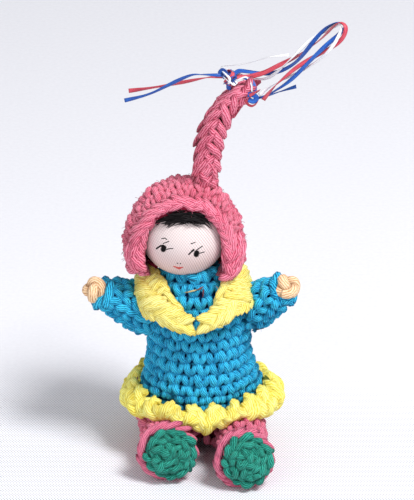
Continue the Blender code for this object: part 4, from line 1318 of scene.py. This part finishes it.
MOUTH_STROKES = (
    ((-2.50, -8.82), (-1.40, -9.12), 0.15), ((-1.40, -9.12), (-0.30, -9.02), 0.15),
    ((-1.75, -9.12), (-1.15, -9.40), 0.18), ((-1.15, -9.40), (-0.70, -9.20), 0.16),
)


def face_mask(shader, flat, wobble, strokes):
    """How far a point lies within any of some painted strokes."""
    mask = None
    for start, end, width in strokes:
        first, last = Vector((*start, 0.0)), Vector((*end, 0.0))
        run = last - first
        offset = shader.vector_math("SUBTRACT", flat, first)
        share = shader.vector_math("DOT_PRODUCT", offset, run / run.length_squared, "Value")
        share = shader.math("MAXIMUM", shader.math("MINIMUM", share, 1.0), 0.0)
        away = shader.vector_math("DISTANCE", offset, shader.scaled(run, share), "Value")
        drop = shader.ramp(shader.plus(away, wobble), width * 0.75, width * 1.25, 1.0, 0.0)
        mask = drop if mask is None else shader.math("MAXIMUM", mask, drop)
    return mask


def head_material():
    """Pale stocking over a ball, with the face painted on its front in thin strokes, and painted shade
    towards the top and the sides.
    """
    shader = Shader("stocking")
    coordinates = shader.node("ShaderNodeTexCoord").outputs["Object"]
    moved = shader.vector_math("SUBTRACT", coordinates, box_middle("head"))
    facing = shader.node("ShaderNodeVectorRotate", {"Vector": moved, "Angle": CAMERA_ELEVATION},
                         rotation_type="X_AXIS").outputs[0]
    wide, deep, tall = shader.split(shader.scaled(facing, 1000.0))
    flat = shader.vector(wide, tall, 0.0)
    in_front = shader.math("LESS_THAN", deep, 0.0)
    wobble = shader.math("MULTIPLY_ADD", shader.noise(2500.0, 1.0), 0.12, -0.06)
    rings = [shader.vector_math("DISTANCE", flat, Vector((x, -19.0, 0.0)), "Value") for x in (-17.0, 22.0)]
    wales = shader.math("SINE", shader.times(rings[0], 11.0))
    courses = shader.math("SINE", shader.times(rings[1], 12.5))
    strong = shader.ramp(wide, -2.0, 7.0, 0.15, 0.55)
    knit = shader.math("MULTIPLY_ADD", wales, strong, shader.times(courses, 0.24))
    base = shader.blend(shader.times(shader.ramp(tall, -3.0, -10.5), 0.5), paint((238, 225, 223)),
                        paint((226, 182, 178)))
    # Painted shade: the face darkens from the eyes up, under the hair and hood.
    base = shader.blend(shader.times(shader.ramp(tall, 0.5, 4.5), 0.6), base,
                        paint((188, 160, 156)))
    # Painted shade: the face darkens towards its left and right edges.
    side = shader.ramp(shader.math("ABSOLUTE", wide), 7.0, 10.8)
    base = shader.blend(shader.times(side, 0.55), base, paint((196, 164, 166)))
    base = shader.blend(shader.ramp(knit, -0.5, 0.7, 0.0, 0.52), base, paint((160, 128, 128)))
    ink = shader.times(face_mask(shader, flat, wobble, FACE_STROKES), in_front)
    base = shader.blend(ink, base, (0.0012, 0.001, 0.0014, 1.0))
    lips = shader.times(face_mask(shader, flat, wobble, MOUTH_STROKES), in_front)
    base = shader.blend(lips, base, paint((204, 84, 80)))
    shader.bump(knit, 0.00004, 0.6)
    return shader.finish(base, 0.6, specular_ior_level=0.12)


def dress_head():
    """Smooth ball in its stocking."""
    low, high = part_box("head")
    ball = bmesh.new()
    bmesh.ops.create_uvsphere(ball, u_segments=96, v_segments=64, radius=(high[2] - low[2]) / 2.0,
                              matrix=Matrix.Translation(box_middle("head")))
    mesh = bpy.data.meshes.new("head_ball")
    ball.to_mesh(mesh)
    ball.free()
    mesh.materials.append(head_material())
    mesh.shade_smooth()
    one_piece("head_ball", [new_piece("head_ball", mesh)], ["head"])


HAIR_STRANDS = 520


def dress_hair():
    """Band of black fibres that lies on the forehead under the hood's edge."""
    shader = Shader("hair_fibre")
    gloss = shader.noise(900.0, 2.0)
    colour = shader.blend(gloss, (0.001, 0.001, 0.0015, 1.0), paint((30, 22, 26)))
    black = shader.finish(colour, 0.6, specular_ior_level=0.2)
    form = Form("hair", 2, 0.0002)
    centre = box_middle("head")
    dice = random.Random(7)
    strands = Stitches()
    for _ in range(HAIR_STRANDS):
        across = dice.uniform(-6.9, 8.3)
        low_edge = 2.1 + 0.030 * (across - 0.8) ** 2 + dice.uniform(-0.35, 0.35)
        up = dice.uniform(low_edge, 6.4)
        radius = dice.uniform(11.3, 12.2)
        near = math.sqrt(max(radius ** 2 - across ** 2 - up ** 2, 1.0))
        place = seen(centre, across, up, near)
        lean = dice.uniform(-0.35, 0.35) - across * 0.04
        strands.add(place, UPWARD, ACROSS + UPWARD * lean, place - centre,
                    (0.00022, dice.uniform(0.0020, 0.0048), 0.0005))
    woven = strands.weave("hair", STRAND, black, seed=71, jitter=0.3, sides=4, sway=0.6)
    one_piece("hair_tuft", [form.lining(black), woven], ["hair"])


# Place across in millimetres and up in metres, direction, length and colour of each thread
THREADS = (
    ("beige_thread", (-2.9, 0.0459), (1.0, 0.0, 0.15), 0.0024, (200, 184, 130)),
    ("brown_thread", (-0.4, 0.0456), (0.25, 0.0, 1.0), 0.0018, (110, 60, 66)),
    ("brown_thread_end", (-1.1, 0.0464), (1.0, 0.0, 0.3), 0.0014, (130, 84, 84)),
    ("white_thread", (3.3, 0.0452), (-0.5, 0.0, 1.0), 0.0016, (240, 238, 236)),
    ("pink_thread", (-15.8, 0.0170), (0.6, 0.0, 0.8), 0.0022, (222, 96, 140)),
)


def stray_threads():
    """Short loose thread ends caught in the crochet of the tunic, and a pink one at its hem."""
    form = Form("tunic", 4)
    for name, spot, across, length, colour in THREADS:
        place, normal = form.hit(Vector((spot[0] / 1000.0, 0.0, spot[1])), FORWARD, 0.03)
        if place is None:
            continue
        thread = Stitches()
        thread.add(place + normal * 0.0012, normal.cross(Vector(across)), Vector(across), normal,
                   (0.00030, length, 0.00030))
        # Darker and lighter copies of the thread's colour, for painted shade and painted highlight in the
        # yarn.
        dark, light = [v * 0.7 for v in colour], [min(v * 1.15, 255) for v in colour]
        material = yarn_material(name, dark, colour, light)
        one_piece(name, [thread.weave(name, STRAND, material, seed=81, sway=1.2)])


# Lights and floor

FLOOR_SIZE = 4.0
WARP_WAVES = 8400.0
WEFT_WAVES = 4600.0
LAMPS = (("key", (0.34, -0.30, 0.75), 0.24, 6.8), ("fill", (-0.45, -0.7, 0.40), 0.6, 1.8))


def make_stage():
    """Pale cloth floor and soft light from above and the right."""
    corners = [(x * FLOOR_SIZE, y * FLOOR_SIZE, 0.0) for x, y in ((-1, -1), (1, -1), (1, 1), (-1, 1))]
    mesh = bpy.data.meshes.new("floor")
    mesh.from_pydata(corners, [], [(0, 1, 2, 3)])
    floor = new_piece("floor", mesh)
    shader = Shader("pale_cloth")
    across, back, _ = shader.split(shader.node("ShaderNodeTexCoord").outputs["Object"])
    warp = shader.math("SINE", shader.times(across, WARP_WAVES))
    weft = shader.math("SINE", shader.times(back, WEFT_WAVES))
    near = shader.ramp(back, 0.05, -0.02, 0.0, 0.8)
    grain = shader.math("MULTIPLY_ADD", shader.noise(900.0, 2.0), 0.12, 0.56)
    weave = shader.math("MULTIPLY_ADD", shader.times(warp, weft), near, grain)
    tint = shader.blend(shader.ramp(weave, 0.1, 0.9), (0.54, 0.54, 0.60, 1.0), (0.96, 0.96, 1.0, 1.0))
    shader.bump(weave, 0.00012, 0.5)
    mesh.materials.append(shader.finish(tint, 0.95, specular_ior_level=0.1))
    world = bpy.data.worlds.new("studio")
    world.use_nodes = True
    world.node_tree.nodes["Background"].inputs[0].default_value = (0.96, 0.97, 1.0, 1.0)
    world.node_tree.nodes["Background"].inputs[1].default_value = 0.48
    bpy.context.scene.world = world
    for name, place, size, power in LAMPS:
        data = bpy.data.lights.new(name, "AREA")
        data.size = size
        data.energy = power
        light = new_object(name, data)
        light.location = place
        light.rotation_euler = (Vector((0.0, 0.0, 0.05)) - Vector(place)).to_track_quat("-Z", "Y").to_euler()


make_ribbons()
make_stage()
dress_tunic()
for side in SIDES:
    dress_sleeve(side)
    dress_hand(side)
    dress_sole(side)
dress_trousers()
dress_collar()
dress_hem()
dress_hood()
dress_head()
dress_hair()
stray_threads()
